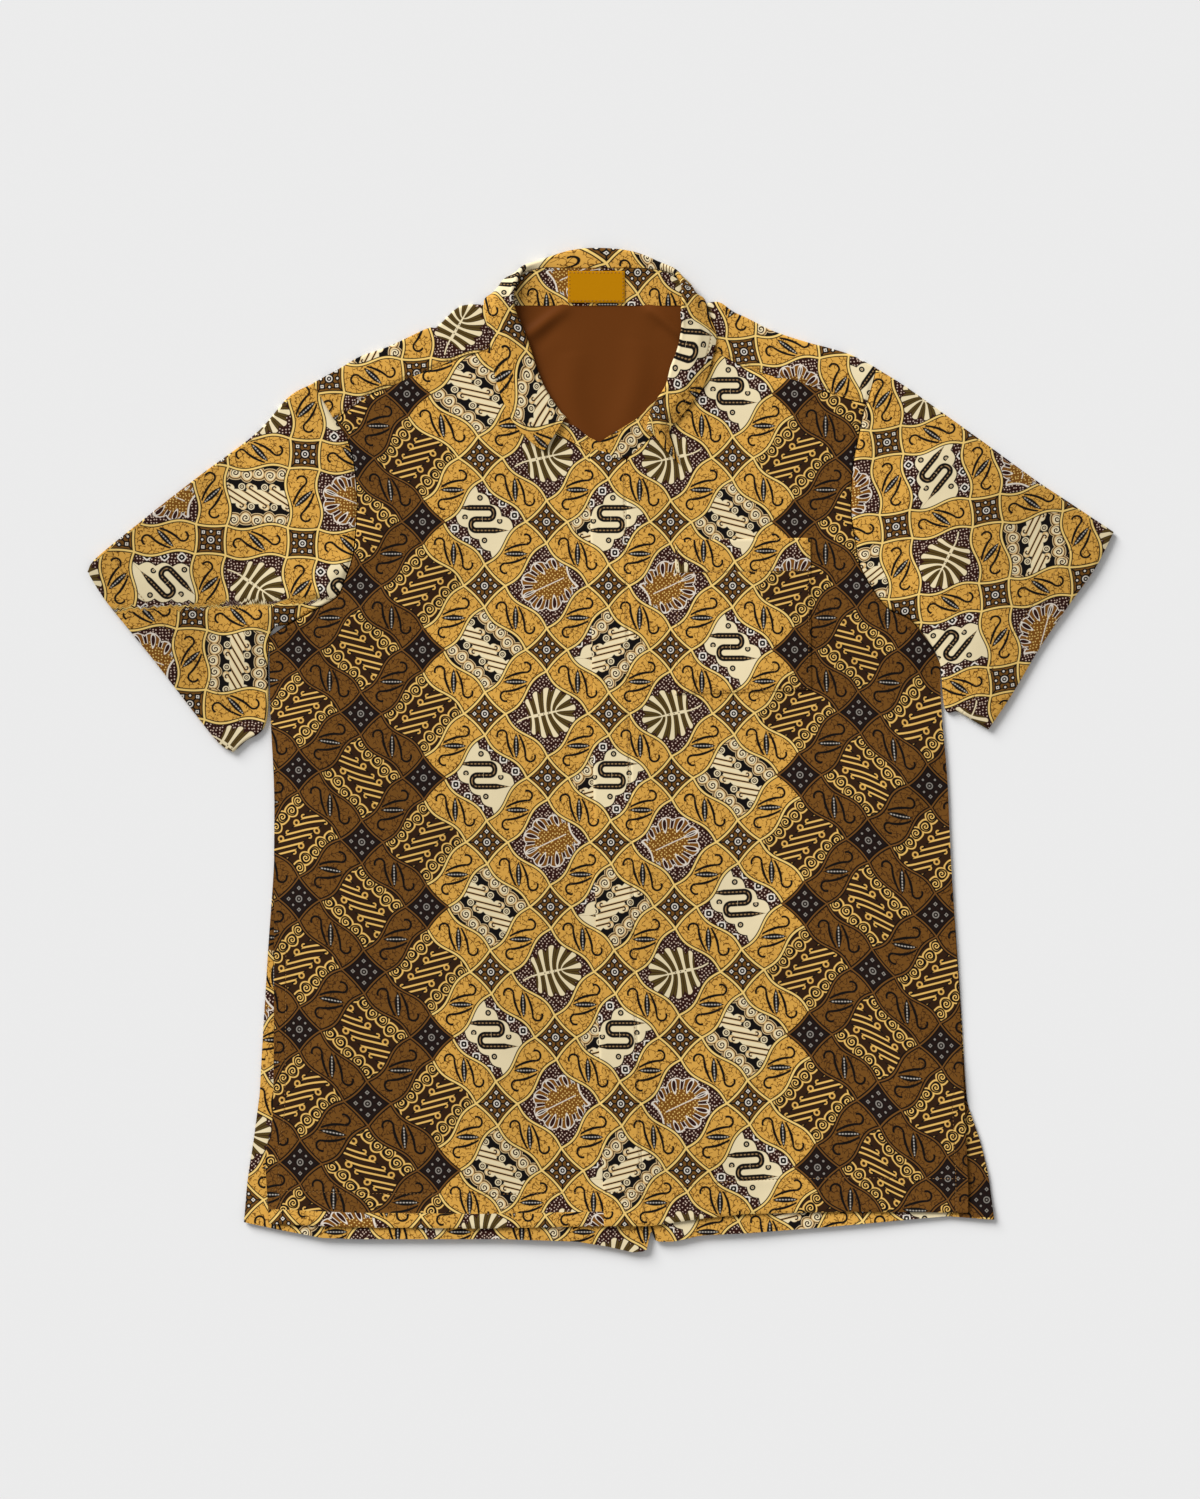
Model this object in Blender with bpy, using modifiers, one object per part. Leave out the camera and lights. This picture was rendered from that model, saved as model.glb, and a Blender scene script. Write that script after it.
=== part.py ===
"""Short-sleeved batik shirt lying flat on its back, as closed cloth walls.

Every piece that is cut and sewn is one object. X runs to the viewer's right, Y toward the
collar and Z up. The origin is below the middle of the outline, at the underside of the back.
Tables and sizes are in millimetres, and the meshes are in metres.
"""

import math

import bmesh
import bpy
from mathutils import Vector

MM = 0.001
COLLECTION = "Batik shirt"

# Cloth walls, and the clear space between pieces: across a seam, along the yoke's seam to the
# fronts, below the collar at the yoke's neck edge, and round the stand at the fronts' neck edge.
COTTON = 1.2
STAND_WALL = 1.2
LEAF_WALL = 1.4
SATIN = 1.0
SEAM_GAP = 0.3
YOKE_GAP = 0.4
YOKE_NECK_GAP = 0.6
NECK_GAP = 0.7

# Undersides of the layers, counted up from the surface that the shirt lies on.
SECOND_LAYER = COTTON + SEAM_GAP
TOP_LAYER = 3.1
PLACKET_LAYER = 4.7
SIDE_SEAM_LAYER = 1.7
FOLDED_EDGE = 2.6
UNDER_EDGE_RISE = 0.5
# The label rests on the stand and rises toward the collar's fold by LABEL_RISE.
LABEL_LAYER = 3.5
LABEL_RISE = 1.2

# Outlines, each as points (x, y). "right" and "left" are the wearer's.
SIDE_RIGHT = ((-296, -392), (-293, -357), (-288, -324), (-283, -286), (-281, -249),
              (-276, -166), (-271, -91), (-271, -33), (-274, 31), (-275, 94))
SIDE_LEFT = ((327, -390), (322, -353), (315, -324), (306, -298), (303, -274),
             (299, -208), (291, -91), (288, -25), (283, 34), (282, 72))
ARMHOLE_RIGHT = ((-275, 94), (-259, 105), (-243, 114), (-220, 127), (-214, 139), (-207, 159),
                 (-204, 183), (-203, 210), (-206, 240), (-212, 260), (-221, 274))
ARMHOLE_LEFT = ((282, 72), (273, 90), (257, 109), (239, 118), (225, 136), (216, 154),
                (212, 175), (209, 196), (209, 219), (211, 241), (214, 255), (217, 270),
                (221, 288))
FRONT_SIDE_RIGHT = ((-275, -393), (-278, -336), (-272, -300), (-271, -166), (-271, -91),
                    (-271, -33), (-274, 31), (-275, 94))
FRONT_SIDE_LEFT = ((305, -384), (305, -355), (302, -291), (298, -208), (291, -91),
                   (288, -25), (283, 34), (282, 72))
BACK_HEM = ((-296, -392), (-268, -398), (-231, -405), (-202, -406), (-80, -406), (-20, -408),
            (5, -412), (27, -417), (38, -416), (42, -398), (46, -408), (61, -408), (83, -403),
            (124, -401), (200, -395), (288, -387), (327, -390))
FRONT_HEM_RIGHT = ((-275, -393), (-208, -396), (-100, -397), (0, -395), (36, -395))
FRONT_HEM_LEFT = ((41, -395), (83, -389), (120, -385), (207, -383), (305, -384))
UNDERLAP_EDGE = ((36, -395), (24, -191), (20, -8), (17, 236))
PLACKET_EDGE = ((3, -395), (-1, -249), (-5, -91), (-7, 83), (-9, 251))
PLACKET_SEAM = ((41, -395), (35, -365), (29, -191), (25, -8), (21, 236))
PLACKET_TOP = ((-9, 251), (8, 241.2), (21, 236))
SHOULDER_RIGHT = ((-235, 306.5), (-214.5, 318), (-199, 327), (-176, 335), (-144, 350),
                  (-136, 351), (-119, 367), (-106, 370), (-91, 369))
SHOULDER_LEFT = ((84, 370), (98, 372), (110, 364), (121, 359), (143, 348), (170, 339),
                 (189, 334), (208, 328), (225.5, 318.5))
YOKE_SEAM_RIGHT = ((-221, 274), (-203, 287), (-190, 296), (-176, 301), (-163, 307),
                   (-131, 320), (-117, 326), (-100, 331), (-88.5, 336))
YOKE_SEAM_LEFT = ((88.5, 336), (113, 321), (132, 314), (148, 309), (161, 306.5), (181, 300),
                  (204, 292), (221, 288))
SLEEVE_FOLD_RIGHT = ((-238.5, 304.5), (-259, 293), (-286, 263), (-334, 227), (-375, 195),
                     (-418, 160), (-426, 148))
SLEEVE_FOLD_LEFT = ((229, 317), (253, 302), (284, 280), (319, 255), (360, 225), (387, 207),
                    (426, 181))
CUFF_RIGHT = ((-426, 148), (-410, 123), (-375, 80), (-341, 36), (-318, 7), (-305, -2))
CUFF_LEFT = ((426, 181), (410, 150), (387, 118), (364, 84), (342, 47), (322, 17))
UNDERARM_RIGHT = ((-277, 25), (-295, 7), (-305, -2))
UNDERARM_LEFT = ((286, 34), (296, 32), (305, 27), (322, 17))

# Where a sleeve's fold meets the shoulder, and the armhole point below which the sleeve is
# closed along its underarm.
SHOULDER_TIP_RIGHT = (-238, 305)
SHOULDER_TIP_LEFT = (228.5, 317.5)
ARMHOLE_TURN = 4

# The turned-up hem and vent facing: (outer x, outer y, inner x, inner y) round the back's edge.
HEM_SECTIONS = (
    (-276, -166, -271, -166), (-281, -249, -262, -249), (-283, -286, -259, -288),
    (-288, -324, -262, -324), (-293, -357, -266, -352), (-296, -392, -267, -371),
    (-268, -398, -255, -374), (-231, -405, -229, -377), (-202, -406, -202, -378),
    (-80, -406, -80, -378), (-20, -408, -20, -380), (5, -412, 5, -384), (27, -417, 27, -387),
    (38, -416, 35, -387), (42, -398, 42, -386), (46, -408, 49, -382), (61, -408, 62, -380),
    (83, -403, 84, -376), (124, -401, 124, -374), (200, -395, 200, -368),
    (288, -387, 280, -361), (327, -390, 301, -363), (322, -353, 296, -350),
    (315, -324, 292, -324), (306, -298, 290, -298),
)

# Collar sections from the wearer's right tip round the back to the left tip. Columns: neck
# seam, seam of stand and leaf, fold, middle of the leaf, edge of the leaf, each as (x, y, z).
COLLAR_SECTIONS = (
    ((-40, 267, 3.9), (-31.4, 273.5, 4.9), (-28, 276, 6.0), (-38, 262, 6.8), (-47, 248, 4.9)),
    ((-46, 273, 3.9), (-36.6, 279, 4.9), (-33, 281, 6.0), (-46, 269, 7.0), (-58, 256, 4.9)),
    ((-58, 285, 3.9), (-45.7, 292, 4.9), (-42, 294, 6.0), (-57, 283, 7.3), (-71, 270, 4.9)),
    ((-66, 295, 3.9), (-51.6, 303, 4.9), (-48, 305, 6.0), (-64, 296, 7.5), (-79, 286, 4.9)),
    ((-75, 309, 3.9), (-57.7, 319, 4.9), (-54, 321, 6.0), (-71, 313, 7.6), (-86, 304, 4.9)),
    ((-81, 324, 3.9), (-62.6, 335, 5.3), (-59, 337, 6.7), (-75, 332, 8.0), (-90, 325, 4.9)),
    ((-85, 338, 3.9), (-68.5, 349.5, 6.0), (-65, 352, 8.2), (-79, 349, 8.9), (-92, 343, 5.1)),
    ((-87, 351, 3.9), (-73.5, 362.5, 8.0), (-71, 365, 11.0), (-83, 363, 9.8), (-95, 360, 5.9)),
    ((-86.5, 360.5, 3.9), (-76, 373, 9.0), (-73, 377, 12.6), (-86, 377, 9.4), (-96, 374, 3.2)),
    ((-81, 367.3, 3.2), (-72.5, 384.5, 8.2), (-70, 389, 11.2), (-82, 388, 6.0), (-86, 378, 1.8)),
    ((-71.5, 369, 2.4), (-66, 396, 5.2), (-65, 401, 6.8), (-72, 394, 2.3), (-72, 376, 1.6)),
    ((-50, 369, 2.25), (-50, 400.5, 2.9), (-50, 407, 2.6), (-50, 392, 1.4), (-50, 375, 1.4)),
    ((-25, 369, 2.25), (-25, 400.5, 2.9), (-25, 415, 2.6), (-25, 396, 1.4), (-25, 376, 1.4)),
    ((0, 369, 2.25), (0, 400.5, 2.9), (0, 417, 2.6), (0, 397, 1.4), (0, 376, 1.4)),
    ((27, 369, 2.25), (27, 400.5, 2.9), (27, 414, 2.6), (27, 396, 1.4), (27, 376, 1.4)),
    ((49, 369, 2.25), (49, 399, 3.4), (50, 405, 3.4), (49, 391, 1.4), (49, 375, 1.4)),
    ((68, 369, 2.4), (63, 394, 5.2), (62.5, 398.5, 6.8), (69, 390, 2.3), (69, 376, 1.6)),
    ((76.5, 367.5, 3.2), (69.5, 384.5, 8.2), (68, 387, 11.2), (76, 384, 6.0), (78, 377, 1.8)),
    ((82, 361, 3.9), (71, 373, 9.0), (68, 375, 12.6), (78, 375, 9.4), (86, 374, 3.2)),
    ((84, 351, 3.9), (70, 360.5, 8.0), (67, 362, 11.0), (79, 360, 9.8), (91, 358, 5.9)),
    ((86, 338, 3.9), (70.5, 348, 6.0), (67, 350, 8.2), (83, 348, 8.9), (96, 344, 5.1)),
    ((83, 324, 3.9), (67.7, 332, 6.2), (64, 334, 7.8), (80, 330, 8.4), (93, 327, 4.9)),
    ((77, 309, 3.9), (61.8, 316, 7.0), (58, 318, 8.3), (73, 311, 8.6), (86, 304, 4.9)),
    ((71, 297, 3.9), (58, 301.5, 7.0), (54, 303, 8.3), (67, 297, 8.6), (78, 291, 4.9)),
    ((62, 287, 3.9), (50, 289, 7.0), (46, 290, 8.3), (57, 283, 8.4), (66, 276, 4.9)),
    ((54, 277, 3.9), (45, 279, 7.0), (41, 280, 8.3), (50, 271, 8.2), (57, 263, 4.9)),
    ((50, 269, 3.9), (42, 266, 7.0), (38, 266, 8.3), (52, 251, 7.6), (66, 237, 4.9)),
)
LEAF_ROLL = 1.0
# Clear space between stand and leaf, wider where the collar turns over at the shoulders.
COLLAR_GAP = 1.0
TURN_GAP = 2.6
TURN_SECTIONS = (7, 8, 9, 10, 16, 17, 18, 19)

# Stand sections past the ends of the leaf: (neck seam, top edge), each as (x, y, z).
STAND_END_RIGHT = (((6, 242, 3.9), (3, 254, 3.9)), ((-13, 250, 3.9), (-10, 260, 3.9)),
                   ((-29, 259, 3.9), (-20, 268, 3.9)))
STAND_END_LEFT = (((39, 257, 4.2), (30, 275, 4.2)), ((24, 244.5, 5.4), (14, 265, 5.4)),
                  ((10, 242.5, 5.5), (0, 256, 5.5)))
# Where the stand shows past the leaf: section number and its own top edge.
STAND_SHOWS = {22: (62.5, 316, 3.9), 23: (56.5, 302, 3.9), 24: (47, 291, 3.9),
               25: (40, 285, 3.9), 26: (36, 280, 3.9)}

POCKET = ((62, 46), (175, 50), (174, 176), (62, 174))
LABEL = ((-27, 371.5), (20, 371.5), (20, 397.5), (-27, 397.5))
LINING = ((-84, 224), (87, 224), (70, 367.2), (-74, 367.2))

# Soft folds: (from x, from y, to x, to y, half width, height), a trough where height is below 0.
FOLDS = (
    (-262, 102, -176, 196, 15, 1.7), (-240, 88, -150, 128, 19, 1.4),
    (-268, 60, -190, -20, 22, 1.5), (-232, -120, -214, -330, 26, 1.3),
    (-120, -60, -96, -390, 30, 1.2), (-150, 230, -128, 60, 26, 1.0),
    (256, 96, 190, 182, 15, 1.7), (262, 70, 168, 112, 19, 1.4), (276, 20, 214, -70, 22, 1.5),
    (236, -110, 248, -330, 26, 1.3), (120, -170, 96, -384, 30, 1.2), (150, 214, 128, 40, 26, 1.0),
    (-286, 244, -236, 186, 16, 1.5), (-390, 150, -318, 96, 20, 1.3),
    (-262, 150, -316, 40, 18, 1.6), (-300, 205, -384, 110, 22, 1.1),
    (292, 250, 238, 190, 16, 1.5), (398, 168, 330, 112, 20, 1.3),
    (262, 140, 318, 52, 18, 1.6), (310, 220, 372, 128, 22, 1.1),
    (-178, 316, -132, 296, 14, 1.1), (170, 318, 132, 292, 14, 1.1),
)
LINING_FOLDS = ((-70, 342, -30, 364, 7, 0.5), (42, 364, 68, 346, 7, 0.5))

# Share of a panel's width over which it comes down to its side seam, and the length over
# which a closed side seam opens into its vent.
SIDE_DROP = 0.12
VENT_EASE = 60
VENT_TOP_RIGHT = -166
VENT_TOP_LEFT = -290
# The left front rises onto the underlap between these distances from the middle, and the
# right front lies without folds below the placket.
RISE_FROM, RISE_TO = 68, 24
CALM_FROM, CALM_TO = -8, -48
# A soft fold keeps this share of its height at its two ends.
FOLD_END = 0.35

COLORS = {
    "printed_cotton": (0.62, 0.36, 0.09),
    "brown_satin": (0.145, 0.047, 0.016),
    "ochre_label": (0.58, 0.26, 0.008),
}


def material(name):
    found = bpy.data.materials.get(name)
    if found:
        return found
    made = bpy.data.materials.new(name)
    made.use_nodes = True
    shader = made.node_tree.nodes["Principled BSDF"]
    shader.inputs["Base Color"].default_value = (*COLORS[name], 1)
    shader.inputs["Roughness"].default_value = 0.45 if name == "brown_satin" else 0.85
    return made


def smooth(t):
    t = min(max(t, 0.0), 1.0)
    return t * t * (3 - 2 * t)


def mix(a, b, t):
    return tuple(p + (q - p) * t for p, q in zip(a, b))


def spread(points, count):
    """count + 1 points along the outline, its own corners among them."""
    lengths = [math.dist(a, b) for a, b in zip(points, points[1:])]
    total = sum(lengths)
    marks = [0]
    run = 0.0
    for number, length in enumerate(lengths, 1):
        run += length
        last = count - (len(lengths) - number)
        marks.append(min(max(round(run / total * count), marks[-1] + 1), last))
    found = []
    for a, b, start, end in zip(points, points[1:], marks, marks[1:]):
        found += [mix(a, b, step / (end - start)) for step in range(end - start)]
    return found + [tuple(points[-1])]


def moved_aside(points, distance):
    """The outline moved to its left by distance, its corners mitred."""
    moved = []
    for number, point in enumerate(points):
        before = Vector(points[max(number - 1, 0)][:2])
        after = Vector(points[min(number + 1, len(points) - 1)][:2])
        here = Vector(point[:2])
        ways = [way.normalized() for way in (here - before, after - here) if way.length > 0]
        normals = [Vector((-way.y, way.x)) for way in ways]
        normal = sum(normals, Vector((0, 0))).normalized()
        reach = distance / max(normal.dot(normals[0]), 0.5)
        moved.append(tuple(here + normal * reach))
    return moved


def halved(points):
    """The points with one more between each two, on a smooth curve through them."""
    found = []
    for number, (a, b) in enumerate(zip(points, points[1:])):
        before = points[max(number - 1, 0)]
        after = points[min(number + 2, len(points) - 1)]
        middle = tuple((9 * (q + r) - p - s) / 16 for p, q, r, s in zip(before, a, b, after))
        found += [a, middle]
    return found + [points[-1]]


def fold_height(x, y, folds):
    """Height of the soft folds at a place on the cloth."""
    total = 0.0
    for x0, y0, x1, y1, width, height in folds:
        along = Vector((x1 - x0, y1 - y0))
        place = Vector((x - x0, y - y0))
        share = place.dot(along) / along.length_squared
        near = min(max(share, 0.0), 1.0)
        off = (place - along * near).length / width
        swell = FOLD_END + (1 - FOLD_END) * math.sin(math.pi * near) ** 0.5
        total += height * math.exp(-off * off) * swell
    return total


def sheet(name, columns, rows, place, wall, material_name, offset=1.0, keep=None, ring=False):
    """A cloth wall: a grid whose vertex (column, row) moves to place(column, row), in mm."""
    mesh = bpy.data.meshes.new(name)
    shape = bmesh.new()
    bmesh.ops.create_grid(shape, x_segments=columns, y_segments=rows, size=0.5)
    if keep:
        cut = []
        for face in shape.faces:
            middle = face.calc_center_median()
            if not keep((middle.x + 0.5) * columns, (middle.y + 0.5) * rows):
                cut.append(face)
        bmesh.ops.delete(shape, geom=cut, context="FACES")
    for vertex in shape.verts:
        column = round((vertex.co.x + 0.5) * columns)
        row = round((vertex.co.y + 0.5) * rows)
        vertex.co = Vector(place(column, row)) * MM
    if ring:
        bmesh.ops.remove_doubles(shape, verts=shape.verts, dist=1e-7)
    shape.to_mesh(mesh)
    shape.free()
    made = bpy.data.objects.new(name, mesh)
    bpy.data.collections[COLLECTION].objects.link(made)
    made.data.materials.append(material(material_name))
    solid = made.modifiers.new("Wall", "SOLIDIFY")
    solid.thickness = wall * MM
    solid.offset = offset
    return made


def panel(left, right, bottom, top, columns, rows):
    """The point of a four-sided panel at (column, row), between its four edges."""
    left, right = spread(left, rows), spread(right, rows)
    bottom, top = spread(bottom, columns), spread(top, columns)

    def place(column, row):
        u, v = column / columns, row / rows
        across = mix(left[row], right[row], u)
        down = mix(bottom[column], top[column], v)
        corners = mix(mix(bottom[0], bottom[-1], u), mix(top[0], top[-1], u), v)
        return tuple(a + d - c for a, d, c in zip(across, down, corners))

    return place


def build_back():
    columns, rows = 24, 24
    left = SIDE_RIGHT + ARMHOLE_RIGHT[1:]
    right = SIDE_LEFT + ARMHOLE_LEFT[1:]
    place = panel(left, right, BACK_HEM, (ARMHOLE_RIGHT[-1], ARMHOLE_LEFT[-1]), columns, rows)
    sheet("back", columns, rows, lambda i, j: (*place(i, j), 0.0), COTTON, "printed_cotton")


def neck_seam(numbers):
    """Neck seam of the numbered collar sections, from above."""
    return [COLLAR_SECTIONS[number][0][:2] for number in numbers]


def side_height(share, y, vent_top):
    """Underside of a front at a share of its width from its side seam."""
    closed = smooth((y - vent_top) / VENT_EASE)
    drop = (TOP_LAYER - SIDE_SEAM_LAYER) * (1 - smooth(share / SIDE_DROP))
    return TOP_LAYER - drop * closed


def build_fronts():
    columns, rows = 20, 22
    neck = [stand[0][:2] for stand in STAND_END_RIGHT] + neck_seam(range(0, 6))
    neck = moved_aside(neck, NECK_GAP)[::-1]
    seam = [(x, y - YOKE_GAP) for x, y in YOKE_SEAM_RIGHT]
    left = FRONT_SIDE_RIGHT + ARMHOLE_RIGHT[1:-1] + (seam[0],)
    top = seam + neck[:-1] + [UNDERLAP_EDGE[-1]]
    place = panel(left, UNDERLAP_EDGE, FRONT_HEM_RIGHT, top, columns, rows)

    def right_front(i, j):
        x, y = place(i, j)
        height = side_height(i / columns, y, VENT_TOP_RIGHT)
        lively = smooth((CALM_FROM - x) / (CALM_FROM - CALM_TO))
        return x, y, height + fold_height(x, y, FOLDS) * lively

    sheet("front_right", columns, rows, right_front, COTTON, "printed_cotton")

    neck = neck_seam(range(21, 27)) + [stand[0][:2] for stand in STAND_END_LEFT[:2]]
    neck = moved_aside(neck, NECK_GAP)[::-1]
    seam = [(x, y - YOKE_GAP) for x, y in YOKE_SEAM_LEFT]
    right = FRONT_SIDE_LEFT + ARMHOLE_LEFT[1:-1] + (seam[-1],)
    edge = [(x + SEAM_GAP, y) for x, y in PLACKET_SEAM]
    place = panel(edge, right, FRONT_HEM_LEFT, [edge[-1]] + neck + seam, columns, rows)

    def left_front(i, j):
        x, y = place(i, j)
        return x, y, left_front_height(x, y, 1 - i / columns)

    sheet("front_left", columns, rows, left_front, COTTON, "printed_cotton")


def left_front_height(x, y, share):
    """Underside of the left front, which rises to the placket."""
    rise = smooth((RISE_FROM - x) / (RISE_FROM - RISE_TO))
    height = side_height(share, y, VENT_TOP_LEFT) + (PLACKET_LAYER - TOP_LAYER) * rise
    return height + fold_height(x, y, FOLDS) * (1 - rise)


def build_placket():
    columns, rows = 3, 18
    place = panel(PLACKET_EDGE, PLACKET_SEAM, (PLACKET_EDGE[0], PLACKET_SEAM[0]),
                  PLACKET_TOP, columns, rows)
    sheet("placket", columns, rows, lambda i, j: (*place(i, j), PLACKET_LAYER), COTTON,
          "printed_cotton")


def build_pocket():
    columns, rows = 6, 7
    place = panel((POCKET[0], POCKET[3]), (POCKET[1], POCKET[2]), (POCKET[0], POCKET[1]),
                  (POCKET[3], POCKET[2]), columns, rows)

    def lie(i, j):
        x, y = place(i, j)
        return x, y, left_front_height(x, y, 0.5) + COTTON + 2 * SEAM_GAP

    sheet("chest_pocket", columns, rows, lie, COTTON, "printed_cotton")


def build_yoke():
    """Folded over both shoulders: the back layer, then the layer that comes to the front."""
    side, middle, back_rows, front_rows = 8, 6, 4, 5
    columns, rows = 2 * side + middle, back_rows + 1 + front_rows
    neck = [(x, y - YOKE_NECK_GAP) for x, y in neck_seam(range(10, 17))]
    low = (ARMHOLE_RIGHT[-1][0], ARMHOLE_RIGHT[-1][1] + SEAM_GAP)
    high = (ARMHOLE_LEFT[-1][0], ARMHOLE_LEFT[-1][1] + SEAM_GAP)
    bottom = spread((low, high), columns)
    shoulder_right = [(x, y - COTTON) for x, y in spread(SHOULDER_RIGHT, side)]
    shoulder_left = [(x, y - COTTON) for x, y in spread(SHOULDER_LEFT, side)]
    crown = shoulder_right + neck[1:-1] + shoulder_left
    seam = spread(YOKE_SEAM_RIGHT, side) + [None] * (middle - 1) + spread(YOKE_SEAM_LEFT, side)

    def place(column, row):
        if row <= back_rows:
            x, y = mix(bottom[column], crown[column], row / back_rows)
            return x, y, COTTON
        share = (row - back_rows - 1) / front_rows
        x, y = mix(crown[column], seam[column], share)
        lift = fold_height(x, y, FOLDS) * math.sin(math.pi * share)
        near = smooth(share * 4)
        return x, y, FOLDED_EDGE + (TOP_LAYER - FOLDED_EDGE) * near + lift

    def keep(column, row):
        return row < back_rows or not side < column < side + middle

    sheet("yoke", columns, rows, place, COTTON, "printed_cotton", offset=-1.0, keep=keep)


def build_sleeve(name, fold, cuff, armhole, underarm, sign):
    """A flattened tube: its upper layer, the underarm edge, its lower layer, the upper fold."""
    across, rows = 12, 12
    start = spread(armhole, across)
    fold_points, under_points = spread(fold, rows), spread(underarm, rows)
    cuff_points = spread(cuff, across)
    columns = 2 * across + 2

    fold_inside = moved_aside(fold_points, sign * COTTON)
    under_inside = moved_aside(under_points, -sign * COTTON)

    def plan(s, row):
        if s in (0, across):
            return fold_inside[row] if s == 0 else under_inside[row]
        u, v = s / across, row / rows
        a = mix(fold_points[row], under_points[row], u)
        b = mix(start[s], cuff_points[s], v)
        corners = mix(mix(start[0], start[-1], u), mix(cuff_points[0], cuff_points[-1], u), v)
        return tuple(p + q - r for p, q, r in zip(a, b, corners))

    def place(column, row):
        column %= columns
        upper = column <= across
        s = column if upper else columns - 1 - column
        x, y = plan(s, row)
        edge = smooth(min(s, across - s) / 2.0)
        if upper:
            rise = TOP_LAYER - FOLDED_EDGE + fold_height(x, y, FOLDS)
            return x, y, FOLDED_EDGE + rise * edge
        return x, y, COTTON + UNDER_EDGE_RISE * (1 - edge)

    sheet(name, columns, rows, place, COTTON, "printed_cotton", offset=-sign, ring=True)


def build_sleeves():
    end = moved_aside(ARMHOLE_RIGHT + (SHOULDER_TIP_RIGHT,), 2 * SEAM_GAP)
    under = end[ARMHOLE_TURN::-1] + list(UNDERARM_RIGHT)
    top = end[:ARMHOLE_TURN - 1:-1]
    build_sleeve("sleeve_right", SLEEVE_FOLD_RIGHT, CUFF_RIGHT, top, under, 1.0)
    end = moved_aside(ARMHOLE_LEFT + (SHOULDER_TIP_LEFT,), -2 * SEAM_GAP)
    under = end[ARMHOLE_TURN::-1] + list(UNDERARM_LEFT)
    top = end[:ARMHOLE_TURN - 1:-1]
    build_sleeve("sleeve_left", SLEEVE_FOLD_LEFT, CUFF_LEFT, top, under, -1.0)


def leaf_frame(number):
    """Two directions at a section's fold: along the cloth to the fold, and out to the leaf."""
    _, seam, fold, _, _ = (Vector(point) for point in COLLAR_SECTIONS[number])
    last = len(COLLAR_SECTIONS) - 1
    before = Vector(COLLAR_SECTIONS[max(number - 1, 0)][2])
    after = Vector(COLLAR_SECTIONS[min(number + 1, last)][2])
    reach = (fold - seam).normalized()
    return reach, reach.cross(after - before).normalized()


def build_stand():
    sections = list(STAND_END_RIGHT)
    for number, (neck, seam, _, _, _) in enumerate(COLLAR_SECTIONS):
        reach, out = leaf_frame(number)
        gap = TURN_GAP if number in TURN_SECTIONS else COLLAR_GAP
        top = Vector(seam) - reach * gap - out * 0.5 * LEAF_WALL
        sections.append((neck, STAND_SHOWS.get(number, tuple(top))))
    sections += STAND_END_LEFT
    neck_line = halved([neck for neck, _ in sections])
    top_line = halved([top for _, top in sections])
    rows = 3

    def place(column, row):
        return mix(neck_line[column], top_line[column], row / rows)

    sheet("collar_stand", len(neck_line) - 1, rows, place, STAND_WALL, "printed_cotton", offset=0.0)


def leaf_section(number):
    """Points of one leaf section: seam, round the roll at the fold, middle and edge."""
    _, seam, fold, middle, edge = (Vector(point) for point in COLLAR_SECTIONS[number])
    reach, out = leaf_frame(number)
    center = fold - reach * (LEAF_ROLL + LEAF_WALL)
    points = [seam]
    for step in range(5):
        angle = math.pi * step / 4
        points.append(center + (reach * math.sin(angle) - out * math.cos(angle)) * LEAF_ROLL)
    start = points[-1]
    for step in range(1, 7):
        t = step / 6
        if t <= 0.5:
            points.append(start.lerp(middle, t * 2))
        else:
            points.append(middle.lerp(edge, t * 2 - 1))
    return points


def build_leaf():
    sections = [leaf_section(number) for number in range(len(COLLAR_SECTIONS))]
    sheet("collar_leaf", len(sections) - 1, len(sections[0]) - 1,
          lambda i, j: sections[i][j], LEAF_WALL, "printed_cotton")


def build_hem_facing():
    rows = 2

    def place(column, row):
        x0, y0, x1, y1 = HEM_SECTIONS[column]
        x, y = mix((x0, y0), (x1, y1), row / rows)
        return x, y, SECOND_LAYER

    sheet("back_hem_facing", len(HEM_SECTIONS) - 1, rows, place, COTTON, "printed_cotton")


def build_lining():
    columns, rows = 12, 10
    place = panel((LINING[0], LINING[3]), (LINING[1], LINING[2]), (LINING[0], LINING[1]),
                  (LINING[3], LINING[2]), columns, rows)

    def lie(i, j):
        x, y = place(i, j)
        return x, y, SECOND_LAYER + fold_height(x, y, LINING_FOLDS)

    sheet("neck_lining", columns, rows, lie, SATIN, "brown_satin")


def build_label():
    columns, rows = 4, 2
    place = panel((LABEL[0], LABEL[3]), (LABEL[1], LABEL[2]), (LABEL[0], LABEL[1]),
                  (LABEL[3], LABEL[2]), columns, rows)
    sheet("neck_label", columns, rows,
          lambda i, j: (*place(i, j), LABEL_LAYER + LABEL_RISE * j / rows), SATIN, "ochre_label")


def main():
    for old in list(bpy.data.objects):
        bpy.data.objects.remove(old, do_unlink=True)
    home = bpy.data.collections.new(COLLECTION)
    bpy.context.scene.collection.children.link(home)
    build_back()
    build_yoke()
    build_fronts()
    build_placket()
    build_pocket()
    build_sleeves()
    build_stand()
    build_leaf()
    build_hem_facing()
    build_lining()
    build_label()


main()
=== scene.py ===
"""Short-sleeved batik shirt laid flat, dressed for rendering.

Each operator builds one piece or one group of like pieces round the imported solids. Tables and
sizes are in millimetres, with X to the viewer's right, Y toward the collar and Z up.
"""

import math

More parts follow.
